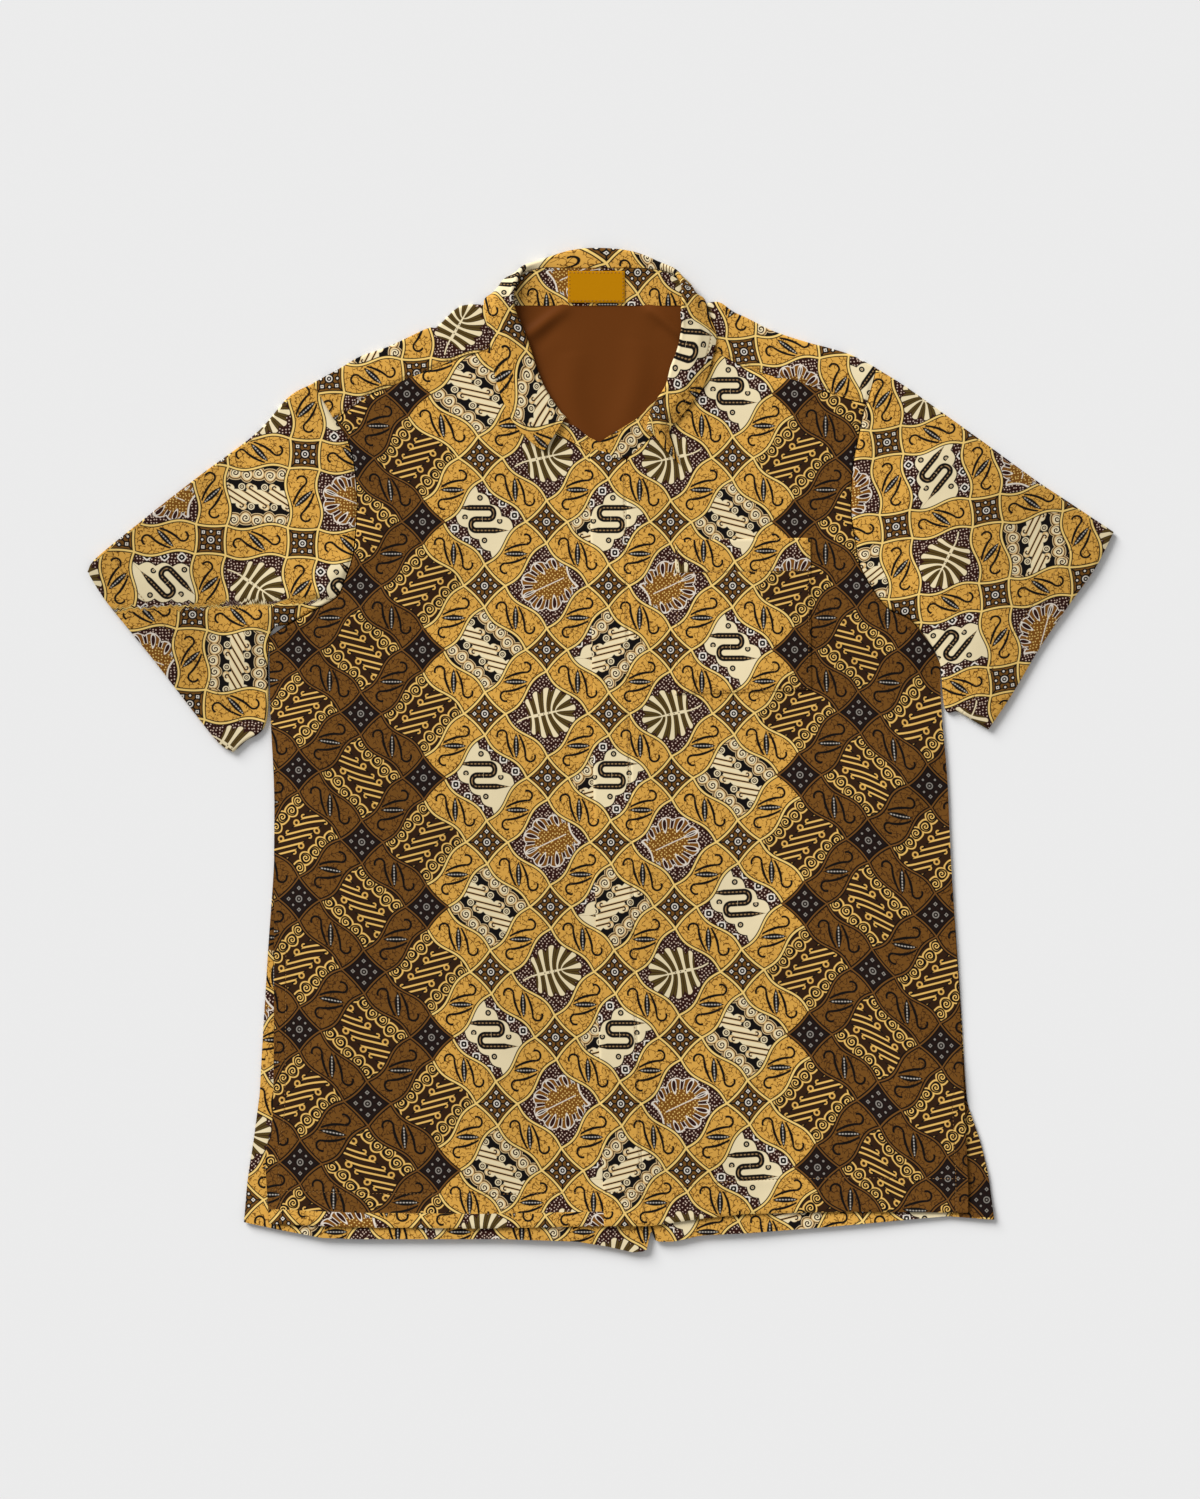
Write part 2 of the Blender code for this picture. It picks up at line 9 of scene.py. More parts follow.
import bmesh
import bpy
import numpy as np
from bpy.props import FloatProperty, FloatVectorProperty, PointerProperty
from bpy.types import Operator, Panel, PropertyGroup
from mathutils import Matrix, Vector


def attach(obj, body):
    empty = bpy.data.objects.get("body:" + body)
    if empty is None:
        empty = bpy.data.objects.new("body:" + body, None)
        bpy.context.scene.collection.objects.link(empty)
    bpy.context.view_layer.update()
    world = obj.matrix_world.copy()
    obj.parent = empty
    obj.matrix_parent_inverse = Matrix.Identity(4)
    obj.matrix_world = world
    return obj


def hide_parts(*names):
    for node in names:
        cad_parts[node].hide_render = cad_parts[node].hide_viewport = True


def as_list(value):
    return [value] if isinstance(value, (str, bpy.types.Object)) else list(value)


bl_info = {
    "name": "Batik shirt",
    "version": (1, 0, 0),
    "blender": (4, 5, 0),
    "location": "3D View > Sidebar > Batik shirt",
    "description": "Builds a short-sleeved batik shirt laid flat, piece by piece",
    "category": "Object",
}

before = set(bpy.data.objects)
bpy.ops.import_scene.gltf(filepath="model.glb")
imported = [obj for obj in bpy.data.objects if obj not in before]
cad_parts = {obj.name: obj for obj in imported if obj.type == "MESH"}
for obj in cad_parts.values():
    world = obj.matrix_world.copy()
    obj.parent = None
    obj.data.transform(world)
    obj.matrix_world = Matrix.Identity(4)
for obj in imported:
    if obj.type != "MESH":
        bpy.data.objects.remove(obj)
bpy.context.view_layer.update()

MM = 0.001
BODY = "root"
COTTON_SLOT = "printed_cotton"
# Height of the picture at the shirt, in metres, and the height of its middle layer.
FRAME_HEIGHT = 1.2442
SHIRT_MIDDLE = 0.004
# The sun's strength, width in degrees and way, and the strength of the sky.
SUN_ENERGY = 3.98
SUN_ANGLE = 34
SUN_WAY = (8.4, -9.8, -6.9)
SKY_STRENGTH = 0.415

# Undersides of the layers, counted up from the surface that the shirt lies on.
FACING_LAYER = 1.05
SEAM_LAYER = 1.35
TOP_LAYER = 3.1
PLACKET_LAYER = 4.7
# How far the fronts lap under the sleeves and the neckband, and their gap to the yoke.
SEAM_LAP = 1.4
NECK_LAP = 0.7
SEAM_CLEAR = 0.8
# Depth of the turned-up hems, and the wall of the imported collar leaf.
HEM_DEPTH = 28.0
LEAF_WALL = 1.4
# How much thicker than the cotton the leaf is, and how much coarser or finer than the rest the
# grids of the back and the pocket are.
LEAF_THICKER = 1.3
BACK_COARSER = 1.4
POCKET_FINER = 0.6
# Lengths that grids are counted out for: the back's armhole, the yoke's shoulder, neck, back and
# front, the placket's width, and the pocket's width and height.
BACK_ARM = 190
YOKE_RUNS = (150, 175, 60, 40)
PLACKET_WIDE = 34
POCKET_RUNS = (114, 127)
# How deep and how wide the cloth rolls down next to the yoke's seam, the armholes, the placket's
# seam and edge, the hems, the sleeves' seams, and round the pocket and the label.
YOKE_DIP = (0.9, 4.0)
ARM_DIP = (0.6, 2.6)
YOKE_ARM_DIP = (0.5, 2.6)
PLACKET_DIP = (0.5, 1.8)
EDGE_DIP = (0.5, 1.6)
HEM_DIP = (0.5, 2.0)
SLEEVE_DIP = (1.3, 3.2)
POCKET_DIP = (0.5, 1.4)
LABEL_DIP = (0.3, 1.2)

# Outlines, each as points (x, y). "right" and "left" are the wearer's.
SIDE_RIGHT = ((-296, -392), (-293, -357), (-288, -324), (-283, -286), (-281, -249),
              (-276, -166), (-271, -91), (-271, -33), (-274, 31), (-275, 94))
SIDE_LEFT = ((327, -390), (322, -353), (315, -324), (306, -298), (303, -274),
             (299, -208), (291, -91), (288, -25), (283, 34), (282, 72))
ARMHOLE_RIGHT = ((-275, 94), (-259, 105), (-243, 114), (-220, 127), (-214, 139), (-207, 159),
                 (-204, 183), (-203, 210), (-206, 240), (-212, 260), (-221, 274))
ARMHOLE_LEFT = ((282, 72), (273, 90), (257, 109), (239, 118), (225, 136), (216, 154),
                (212, 175), (209, 196), (209, 219), (211, 241), (214, 255), (217, 270),
                (221, 288))
FRONT_SIDE_RIGHT = ((-275, -393), (-278, -336), (-272, -300), (-271, -166), (-271, -91),
                    (-271, -33), (-274, 31), (-275, 94))
FRONT_SIDE_LEFT = ((305, -384), (305, -355), (302, -291), (298, -208), (291, -91),
                   (288, -25), (283, 34), (282, 72))
BACK_HEM = ((-296, -392), (-268, -398), (-231, -405), (-202, -406), (-80, -406), (-20, -408),
            (5, -412), (27, -417), (38, -416), (42, -398), (46, -408), (61, -408), (83, -403),
            (124, -401), (200, -395), (288, -387), (327, -390))
FRONT_HEM_RIGHT = ((-275, -393), (-208, -396), (-100, -397), (0, -395), (36, -395))
FRONT_HEM_LEFT = ((41, -395), (83, -389), (120, -385), (207, -383), (305, -384))
UNDERLAP_EDGE = ((36, -395), (24, -191), (20, -8), (17, 236))
PLACKET_EDGE = ((3, -395), (-1, -249), (-5, -91), (-7, 83), (-9, 251))
PLACKET_SEAM = ((41, -395), (35, -365), (29, -191), (25, -8), (21, 236))
PLACKET_TOP = ((-9, 251), (8, 241.2), (21, 236))
SHOULDER_RIGHT = ((-235, 306.5), (-214.5, 318), (-199, 327), (-176, 335), (-144, 350),
                  (-136, 351), (-119, 367), (-106, 370), (-91, 369))
SHOULDER_LEFT = ((84, 370), (98, 372), (110, 364), (121, 359), (143, 348), (170, 339),
                 (189, 334), (208, 328), (225.5, 318.5))
YOKE_SEAM_RIGHT = ((-221, 274), (-203, 287), (-190, 296), (-176, 301), (-163, 307),
                   (-131, 320), (-117, 326), (-100, 331), (-88.5, 336))
YOKE_SEAM_LEFT = ((88.5, 336), (113, 321), (132, 314), (148, 309), (161, 306.5), (181, 300),
                  (204, 292), (221, 288))
SLEEVE_FOLD_RIGHT = ((-238.5, 304.5), (-259, 293), (-286, 263), (-334, 227), (-375, 195),
                     (-418, 160), (-426, 148))
SLEEVE_FOLD_LEFT = ((229, 317), (253, 302), (284, 280), (319, 255), (360, 225), (387, 207),
                    (426, 181))
CUFF_RIGHT = ((-426, 148), (-410, 123), (-375, 80), (-341, 36), (-318, 7), (-305, -2))
CUFF_LEFT = ((426, 181), (410, 150), (387, 118), (364, 84), (342, 47), (322, 17))
UNDERARM_RIGHT = ((-277, 25), (-295, 7), (-305, -2))
UNDERARM_LEFT = ((286, 34), (296, 32), (305, 27), (322, 17))

# Where a sleeve's fold meets the shoulder, and the armhole point below which the sleeve is
# closed along its underarm.
SHOULDER_TIP_RIGHT = (-238, 305)
SHOULDER_TIP_LEFT = (228.5, 317.5)
ARMHOLE_TURN = 4

# The turned-up hem and vent facing: (outer x, outer y, inner x, inner y) round the back's edge.
HEM_SECTIONS = (
    (-276, -166, -271, -166), (-281, -249, -262, -249), (-283, -286, -259, -288),
    (-288, -324, -262, -324), (-293, -357, -266, -352), (-296, -392, -267, -371),
    (-268, -398, -255, -374), (-231, -405, -229, -377), (-202, -406, -202, -378),
    (-80, -406, -80, -378), (-20, -408, -20, -380), (5, -412, 5, -384), (27, -417, 27, -387),
    (38, -416, 35, -387), (42, -398, 42, -386), (46, -408, 49, -382), (61, -408, 62, -380),
    (83, -403, 84, -376), (124, -401, 124, -374), (200, -395, 200, -368),
    (288, -387, 280, -361), (327, -390, 301, -363), (322, -353, 296, -350),
    (315, -324, 292, -324), (306, -298, 290, -298),
)

# Collar sections from the wearer's right tip round the back to the left tip. Columns: neck
# seam, seam of stand and leaf, fold, middle of the leaf, edge of the leaf, each as (x, y, z).
COLLAR_SECTIONS = (
    ((-40, 267, 3.9), (-31.4, 273.5, 4.9), (-28, 276, 6.0), (-38, 262, 6.8), (-47, 248, 4.9)),
    ((-46, 273, 3.9), (-36.6, 279, 4.9), (-33, 281, 6.0), (-46, 269, 7.0), (-58, 256, 4.9)),
    ((-58, 285, 3.9), (-45.7, 292, 4.9), (-42, 294, 6.0), (-57, 283, 7.3), (-71, 270, 4.9)),
    ((-66, 295, 3.9), (-51.6, 303, 4.9), (-48, 305, 6.0), (-64, 296, 7.5), (-79, 286, 4.9)),
    ((-75, 309, 3.9), (-57.7, 319, 4.9), (-54, 321, 6.0), (-71, 313, 7.6), (-86, 304, 4.9)),
    ((-81, 324, 3.9), (-62.6, 335, 5.3), (-59, 337, 6.7), (-75, 332, 8.0), (-90, 325, 4.9)),
    ((-85, 338, 3.9), (-68.5, 349.5, 6.0), (-65, 352, 8.2), (-79, 349, 8.9), (-92, 343, 5.1)),
    ((-87, 351, 3.9), (-73.5, 362.5, 8.0), (-71, 365, 11.0), (-83, 363, 9.8), (-95, 360, 5.9)),
    ((-86.5, 360.5, 3.9), (-76, 373, 9.0), (-73, 377, 12.6), (-86, 377, 9.4), (-96, 374, 3.2)),
    ((-81, 367.3, 3.2), (-72.5, 384.5, 8.2), (-70, 389, 11.2), (-82, 388, 6.0), (-86, 378, 1.8)),
    ((-71.5, 369, 2.4), (-66, 396, 5.2), (-65, 401, 6.8), (-72, 394, 2.3), (-72, 376, 1.6)),
    ((-50, 369, 2.25), (-50, 400.5, 2.9), (-50, 407, 2.6), (-50, 392, 1.4), (-50, 375, 1.4)),
    ((-25, 369, 2.25), (-25, 400.5, 2.9), (-25, 415, 2.6), (-25, 396, 1.4), (-25, 376, 1.4)),
    ((0, 369, 2.25), (0, 400.5, 2.9), (0, 417, 2.6), (0, 397, 1.4), (0, 376, 1.4)),
    ((27, 369, 2.25), (27, 400.5, 2.9), (27, 414, 2.6), (27, 396, 1.4), (27, 376, 1.4)),
    ((49, 369, 2.25), (49, 399, 3.4), (50, 405, 3.4), (49, 391, 1.4), (49, 375, 1.4)),
    ((68, 369, 2.4), (63, 394, 5.2), (62.5, 398.5, 6.8), (69, 390, 2.3), (69, 376, 1.6)),
    ((76.5, 367.5, 3.2), (69.5, 384.5, 8.2), (68, 387, 11.2), (76, 384, 6.0), (78, 377, 1.8)),
    ((82, 361, 3.9), (71, 373, 9.0), (68, 375, 12.6), (78, 375, 9.4), (86, 374, 3.2)),
    ((84, 351, 3.9), (70, 360.5, 8.0), (67, 362, 11.0), (79, 360, 9.8), (91, 358, 5.9)),
    ((86, 338, 3.9), (70.5, 348, 6.0), (67, 350, 8.2), (83, 348, 8.9), (96, 344, 5.1)),
    ((83, 324, 3.9), (67.7, 332, 6.2), (64, 334, 7.8), (80, 330, 8.4), (93, 327, 4.9)),
    ((77, 309, 3.9), (61.8, 316, 7.0), (58, 318, 8.3), (73, 311, 8.6), (86, 304, 4.9)),
    ((71, 297, 3.9), (58, 301.5, 7.0), (54, 303, 8.3), (67, 297, 8.6), (78, 291, 4.9)),
    ((62, 287, 3.9), (50, 289, 7.0), (46, 290, 8.3), (57, 283, 8.4), (66, 276, 4.9)),
    ((54, 277, 3.9), (45, 279, 7.0), (41, 280, 8.3), (50, 271, 8.2), (57, 263, 4.9)),
    ((50, 269, 3.9), (42, 266, 7.0), (38, 266, 8.3), (52, 251, 7.6), (66, 237, 4.9)),
)
LEAF_ROLL = 1.0
# Clear space between stand and leaf, wider where the collar turns over at the shoulders.
COLLAR_GAP = 1.0
TURN_GAP = 2.6
TURN_SECTIONS = (7, 8, 9, 10, 16, 17, 18, 19)

# Stand sections past the ends of the leaf: (neck seam, top edge), each as (x, y, z).
STAND_END_RIGHT = (((6, 242, 3.9), (3, 254, 3.9)), ((-13, 250, 3.9), (-10, 260, 3.9)),
                   ((-29, 259, 3.9), (-20, 268, 3.9)))
STAND_END_LEFT = (((39, 257, 4.2), (30, 275, 4.2)), ((24, 244.5, 5.4), (14, 265, 5.4)),
                  ((10, 242.5, 5.5), (0, 256, 5.5)))
# Where the stand shows past the leaf: section number and its own top edge.
STAND_SHOWS = {22: (62.5, 316, 3.9), 23: (56.5, 302, 3.9), 24: (47, 291, 3.9),
               25: (40, 285, 3.9), 26: (36, 280, 3.9)}

POCKET = ((62, 46), (175, 50), (174, 176), (62, 174))
LABEL = ((-27, 371.5), (20, 371.5), (20, 397.5), (-27, 397.5))
LINING = ((-84, 224), (87, 224), (70, 367.2), (-74, 367.2))

# Soft folds: (from x, from y, to x, to y, half width, height), a trough where height is below 0.
FOLDS = (
    (-262, 102, -176, 196, 15, 1.7), (-240, 88, -150, 128, 19, 1.4),
    (-268, 60, -190, -20, 22, 1.5), (-232, -120, -214, -330, 26, 1.3),
    (-120, -60, -96, -390, 30, 1.2), (-150, 230, -128, 60, 26, 1.0),
    (256, 96, 190, 182, 15, 1.7), (262, 70, 168, 112, 19, 1.4), (276, 20, 214, -70, 22, 1.5),
    (236, -110, 248, -330, 26, 1.3), (120, -170, 96, -384, 30, 1.2), (150, 214, 128, 40, 26, 1.0),
    (-286, 244, -236, 186, 16, 1.5), (-390, 150, -318, 96, 20, 1.3),
    (-262, 150, -316, 40, 18, 1.6), (-300, 205, -384, 110, 22, 1.1),
    (292, 250, 238, 190, 16, 1.5), (398, 168, 330, 112, 20, 1.3),
    (262, 140, 318, 52, 18, 1.6), (310, 220, 372, 128, 22, 1.1),
    (-178, 316, -132, 296, 14, 1.1), (170, 318, 132, 292, 14, 1.1),
)
LINING_FOLDS = ((-72, 340, -28, 365, 5, 2.6), (38, 366, 70, 345, 4.5, 3.0),
                (-66, 330, -34, 350, 6, -0.7), (44, 352, 74, 332, 5, -0.8),
                (-14, 236, -24, 330, 13, 2.0), (20, 250, 30, 340, 12, 1.8))
# Share of its height that a fold keeps at its ends.
FOLD_END = 0.35
# Farther than any stitch line.
FAR = 1e3
# The hem's curl off the floor: its height, where it starts, and how far it runs.
HEM_CURL = 2.8
HEM_CURL_FROM = -366.0
HEM_CURL_RUN = 44.0
# A stitch: spacing, the shares of it that the thread starts and ends at, the thread's radius and
# sides, and its rings as (share of length, size, height). Then how far its groove and pucker go.
STITCH_PITCH = 3.1
THREAD_SPAN = (0.2, 0.8)
THREAD_RADIUS = 0.28
THREAD_SIDES = 6
THREAD_RINGS = ((0.0, 0.3, -0.25), (0.2, 0.95, 0.02), (0.5, 1.0, 0.12), (0.8, 0.95, 0.02),
                (1.0, 0.3, -0.25))
STITCH_GROOVE = 1.3
STITCH_PUCKER = 7.0
# How far the lining runs on below the stand.
LINING_TUCK = 3.0
# How far in from its side seam a front comes down, and how softly below the armhole and above
# the vent. Then the heights where the armholes of the fronts start, and the tops of the vents.
SIDE_DROP = 36.0
ARMPIT_EASE = 40.0
VENT_EASE = 60
ARM_FROM_RIGHT = 96
ARM_FROM_LEFT = 78
VENT_TOP_RIGHT = -166
VENT_TOP_LEFT = -290
# Width of the turning along a vent, and depth of the collar's edge stitching.
VENT_TURN = 10.0
LEAF_STITCH = 5.0
# Depth of the pocket's band and of the right front's rolled hem, and how many lattice steps the
# print jumps there and on the turned-up hem of the back.
POCKET_BAND = 27.0
HEM_ROLL = 12.0
POCKET_JUMP = (1.006, 1.038)
HEM_JUMP = (0.62, 1.34)
FACING_JUMP = (1.15, 0.25)
# How far the placket runs on below the neckband.
PLACKET_TUCK = 6.0
# Where the left front rises to the placket, and where the right front's folds fade out.
RISE_FROM, RISE_TO = 68, 24
CALM_FROM, CALM_TO = -8, -48

# The tuck that lies across the wearer's right sleeve, and how far the print jumps over it.
TUCK = (-349, 119.8, -224.5, 125.7)
TUCK_JUMP = (13.0, -12.0)

# Spacing of the grid near a seam, counted in millimetres from the edge of the cloth.
EDGE_STEPS = (0.0, 0.7, 1.5, 2.5, 3.8, 5.6)

# The print's place on each piece: (x, y) of a lattice point, that point's (i, j), then the way
# that one step of i and one step of j go over the cloth.
BODY_PRINT = ((6.7, 30.05), (0.0, 0.0), (51.46, -53.1), (-51.46, -53.1))
SLEEVE_PRINT_RIGHT = ((-284.3, 210.0), (0.5, 0.5), (-2.2, -74.1), (-76.0, 3.0))
SLEEVE_PRINT_LEFT = ((279.0, 227.1), (0.5, 0.5), (74.9, 13.3), (7.5, -70.0))
YOKE_PRINT_RIGHT = ((-187.2, 273.9), (0.5, 1.5), (72.8, 4.65), (3.3, -73.0))
YOKE_PRINT_LEFT = ((163.1, 298.8), (1.5, 0.5), (72.2, 7.9), (15.8, -71.4))
STAND_PRINT = ((30.9, 396.4), (0.0, 0.0), (50.5, -53.0), (-50.5, -53.0))
# Along the leaf, the sum of i and j at a section, counted from the wearer's right tip.
LEAF_PRINT = ((0, -1.62), (6, 0), (13.2, 2), (17.2, 4), (24.6, 6), (26, 6.5))
LEAF_STEP = 51.5
# Zone half-widths beyond which a piece turns dusky; NO_ZONE keeps it all bright.
BODY_ZONE = 2.5
NO_ZONE = 99.0
# ALL_DUSKY makes a piece dusky all over; the hem facing's left vent uses it as painted shade.
ALL_DUSKY = -1.0
# The print of the fronts slips from this height on over this run, with steps to the side, each
# as (amount, from x, over so much of x).
SLIP_FROM, SLIP_RUN = 91, 440
SLIP_STEPS = ((9.1, 212, 50), (-2.5, 95, 60), (-6.6, -195, -52))


def smooth(t):
    t = np.clip(t, 0.0, 1.0)
    return t * t * (3 - 2 * t)


def mix(a, b, share):
    return a + (b - a) * share


def through(tracks, between):
    """Smooth curves through the points of each track, with so many steps between two."""
    tracks = np.asarray(tracks, float)
    ends = (2 * tracks[:1] - tracks[1:2], tracks, 2 * tracks[-1:] - tracks[-2:-1])
    tracks = np.concatenate(ends)
    found = []
    for a, b, c, d in zip(tracks, tracks[1:], tracks[2:], tracks[3:]):
        for t in np.arange(between) / between:
            bend = (2 * a - 5 * b + 4 * c - d) * t**2 + (3 * b - a - 3 * c + d) * t**3
            found.append(b + 0.5 * ((c - a) * t + bend))
    return np.array(found + [tracks[-2]])


def marks(length, pitch, fine_start=True, fine_end=True):
    """Shares of a length about one pitch apart, closer near a fine end."""
    near = np.array(EDGE_STEPS)
    start = near if fine_start else near[:1]
    end = length - (near if fine_end else near[:1])[::-1]
    count = max(int(round((end[0] - start[-1]) / pitch)), 2)
    return np.concatenate([start[:-1], np.linspace(start[-1], end[0], count + 1), end[1:]]) / length


def run_along(line):
    """Length of the line up to each of its points."""
    steps = np.linalg.norm(np.diff(np.asarray(line, float), axis=0), axis=-1)
    return np.concatenate([np.zeros_like(steps[:1]), steps.cumsum(axis=0)])


def length_of(line):
    return float(run_along(line)[-1])


def shares_of(line):
    run = run_along(line)
    return run / run[-1]


def at(line, shares, rounded=True):
    """Points at shares of the length of a line."""
    dense = through(line, 12) if rounded else np.asarray(line, float)
    run = run_along(dense)
    return np.stack([np.interp(shares * run[-1], run, axis) for axis in dense.T], axis=1)


def patch(left, right, bottom, top):
    """Grid of points spanned between four edges."""
    u = shares_of(mix(bottom, top, 0.5))[None, :, None]
    v = shares_of(mix(left, right, 0.5))[:, None, None]
    across = mix(left[:, None], right[:, None], u)
    down = mix(bottom[None], top[None], v)
    corners = mix(mix(bottom[0], bottom[-1], u), mix(top[0], top[-1], u), v)
    return across + down - corners


def square_patch(corners, pitch, lengths=None):
    """Grid between four corners, spaced for their own distances or for given lengths."""
    a, b, c, d = (np.array(corner, float) for corner in corners)
    wide, high = lengths or (math.dist(a, b), math.dist(a, d))
    across, down = marks(wide, pitch), marks(high, pitch)
    edges = (((a, d), down), ((b, c), down), ((a, b), across), ((d, c), across))
    return patch(*(at(line, shares, rounded=False) for line, shares in edges))


def moved_aside(line, distance):
    """The line moved to its left."""
    line = np.asarray(line, float)[:, :2]
    way = np.gradient(line, axis=0)
    way /= np.linalg.norm(way, axis=1)[:, None]
    return line + np.stack([-way[:, 1], way[:, 0]], axis=1) * distance


def distance_to(x, y, line):
    """Distance from each place to a line."""
    nearest = np.full(np.shape(x), 1e6)
    line = np.asarray(line, float)[:, :2]
    for (x0, y0), (x1, y1) in zip(line, line[1:]):
        dx, dy = x1 - x0, y1 - y0
        share = np.clip(((x - x0) * dx + (y - y0) * dy) / max(dx * dx + dy * dy, 1e-9), 0, 1)
        nearest = np.minimum(nearest, np.hypot(x - x0 - dx * share, y - y0 - dy * share))
    return nearest


def fold_height(x, y, folds=FOLDS):
    """Height of the soft folds at each place on the cloth; each wanders a little as it runs."""
    total = np.zeros(np.shape(x))
    for x0, y0, x1, y1, width, height in folds:
        dx, dy = x1 - x0, y1 - y0
        long = math.hypot(dx, dy)
        share = ((x - x0) * dx + (y - y0) * dy) / long**2
        near = np.clip(share, 0.0, 1.0)
        side = ((x - x0) * dy - (y - y0) * dx) / long + 0.3 * width * np.sin(near * 5.0 + x0)
        off = np.hypot(side, (share - near) * long) / width
        swell = FOLD_END + (1 - FOLD_END) * np.sin(np.pi * near) ** 0.5
        total = total + height * np.exp(-off * off) * swell
    return total


def lattice_at(x, y, place):
    """Lattice coordinates (i, j) of places on the cloth."""
    (x0, y0), start, step_i, step_j = place
    across = step_i[0] * step_j[1] - step_i[1] * step_j[0]
    dx, dy = x - x0, y - y0
    i = (dx * step_j[1] - dy * step_j[0]) / across + start[0]
    j = (dy * step_i[0] - dx * step_i[1]) / across + start[1]
    return np.stack([i, j], axis=-1)


def front_lattice(x, y):
    """Lattice coordinates on the fronts, where the print slips outward and down to the hem."""
    depth = np.clip((SLIP_FROM - y) / SLIP_RUN, 0, 1)
    outward = 13.3 * depth**2 * (1 - 0.9 * smooth((-141 - x) / 108))
    outward = outward + 10 * np.clip((x - 58) / 205, 0, 1.1) * smooth(depth / 0.4)
    steps = sum(amount * smooth((x - start) / run) for amount, start, run in SLIP_STEPS)
    down = 7.5 * depth**3 + steps * smooth(depth / 0.26)
    return lattice_at(x - outward, y + down, BODY_PRINT)


def stitch_offset(x, y, stitched):
    """Signed distance past the nearest stitch line, each given as (edge line, depth)."""
    best = np.full(np.shape(x), FAR)
    for line, depth in stitched:
        off = distance_to(x, y, line) - abs(depth)
        best = np.where(np.abs(off) < np.abs(best), off, best)
    return best


def placed(name, data):
    """A new object in the scene."""
    made = bpy.data.objects.new(name, data)
    bpy.context.scene.collection.objects.link(made)
    return made


def choose(*pieces):
    """Selects these pieces alone; the last is the active one."""
    bpy.ops.object.select_all(action="DESELECT")
    for piece in pieces:
        piece.select_set(True)
        bpy.context.view_layer.objects.active = piece


def quads_of(numbers):
    """Faces between the point numbers of a grid."""
    around = numbers[:-1, :-1], numbers[:-1, 1:], numbers[1:, 1:], numbers[1:, :-1]
    return np.stack(around, axis=-1)


def make_cloth(name, grid, wall, finish, lattice, stitches=FAR, band=FAR, keep=None,
               ring=False, other=None):
    """A cloth wall round the middle surface that the grid gives, in millimetres.

    A ring closes round its last column. Faces whose (x, y) the test in "other" picks get the
    finish in it.
    """
    shape = grid.shape[:2]
    numbers = np.arange(shape[0] * shape[1]).reshape(shape)
    faces = quads_of(np.concatenate([numbers, numbers[:, :1]], axis=1) if ring else numbers)
    if keep is not None:
        faces = faces[keep[:-1, :-1]]
    mesh = bpy.data.meshes.new(name)
    mesh.from_pydata((grid.reshape(-1, 3) * MM).tolist(), [], faces.reshape(-1, 4).tolist())
    corners = np.empty(len(mesh.loops), int)
    mesh.loops.foreach_get("vertex_index", corners)
    sewn = np.stack([np.broadcast_to(part, shape) for part in (stitches, band)], axis=-1)
    for label, places in (("Cloth", lattice), ("Sewn", sewn)):
        layer = mesh.uv_layers.new(name=label)
        layer.data.foreach_set("uv", places.reshape(-1, 2)[corners].ravel())
    made = placed(name, mesh)
    if keep is not None:
        drop_loose(made)
    mesh.materials.append(finish)
    solid = made.modifiers.new("Wall", "SOLIDIFY")
    solid.thickness = wall * MM
    solid.offset = 0.0
    solid.use_even_offset = False
    choose(made)
    bpy.ops.object.modifier_apply(modifier="Wall")
    made.data.shade_smooth()
    made.data.set_sharp_from_angle(angle=math.radians(50))
    if other:
        picked, other_finish = other
        made.data.materials.append(other_finish)
        for face in made.data.polygons:
            face.material_index = int(picked(face.center.x / MM, face.center.y / MM))
    return made


def drop_loose(piece):
    """Removes the points that no face uses."""
    shape = bmesh.new()
    shape.from_mesh(piece.data)
    bmesh.ops.delete(shape, geom=[v for v in shape.verts if not v.link_faces], context="VERTS")
    shape.to_mesh(piece.data)
    shape.free()


def dip(distance, depth, width):
    """How far the cloth rolls down next to a sewn edge."""
    return depth * (1 - smooth(distance / width))


def ease(x, y, strength=0.22):
    """Slight unevenness that pressed cotton keeps."""
    long = np.sin(x / 23 + 1.3 * np.sin(y / 41)) * np.sin(y / 31 + 1.1 * np.sin(x / 37))
    short = np.sin(x / 11 + y / 17 + 2 * np.sin(y / 29)) * np.sin(y / 9 - x / 21)
    return strength * long + 0.35 * strength * short


def lifted(line, grid, wall):
    """A line (x, y) laid on top of the cloth that the grid gives, with a point every 4 mm."""
    line = at(line, np.linspace(0, 1, int(length_of(line) / 4) + 2), rounded=False)
    places, found = grid.reshape(-1, 3), []
    for x, y in line[:, :2]:
        off = np.hypot(places[:, 0] - x, places[:, 1] - y)
        near = np.argpartition(off, 4)[:4]
        weight = 1 / (off[near] + 0.05)
        found.append((x, y, (places[near, 2] * weight).sum() / weight.sum() + wall / 2))
    return np.array(found)


def thread_at(start, end):
    """Points of one stitch from start to end, ring after ring."""
    side = np.array([start[1] - end[1], end[0] - start[0], 0.0])
    side /= max(np.linalg.norm(side), 1e-6)
    points = []
    for share, size, sink in THREAD_RINGS:
        for turn in np.arange(THREAD_SIDES) * 2 * math.pi / THREAD_SIDES:
            reach = side * math.cos(turn) + np.array([0, 0, math.sin(turn)])
            points.append(mix(start, end, share) + (0, 0, sink) + reach * THREAD_RADIUS * size)
    return points


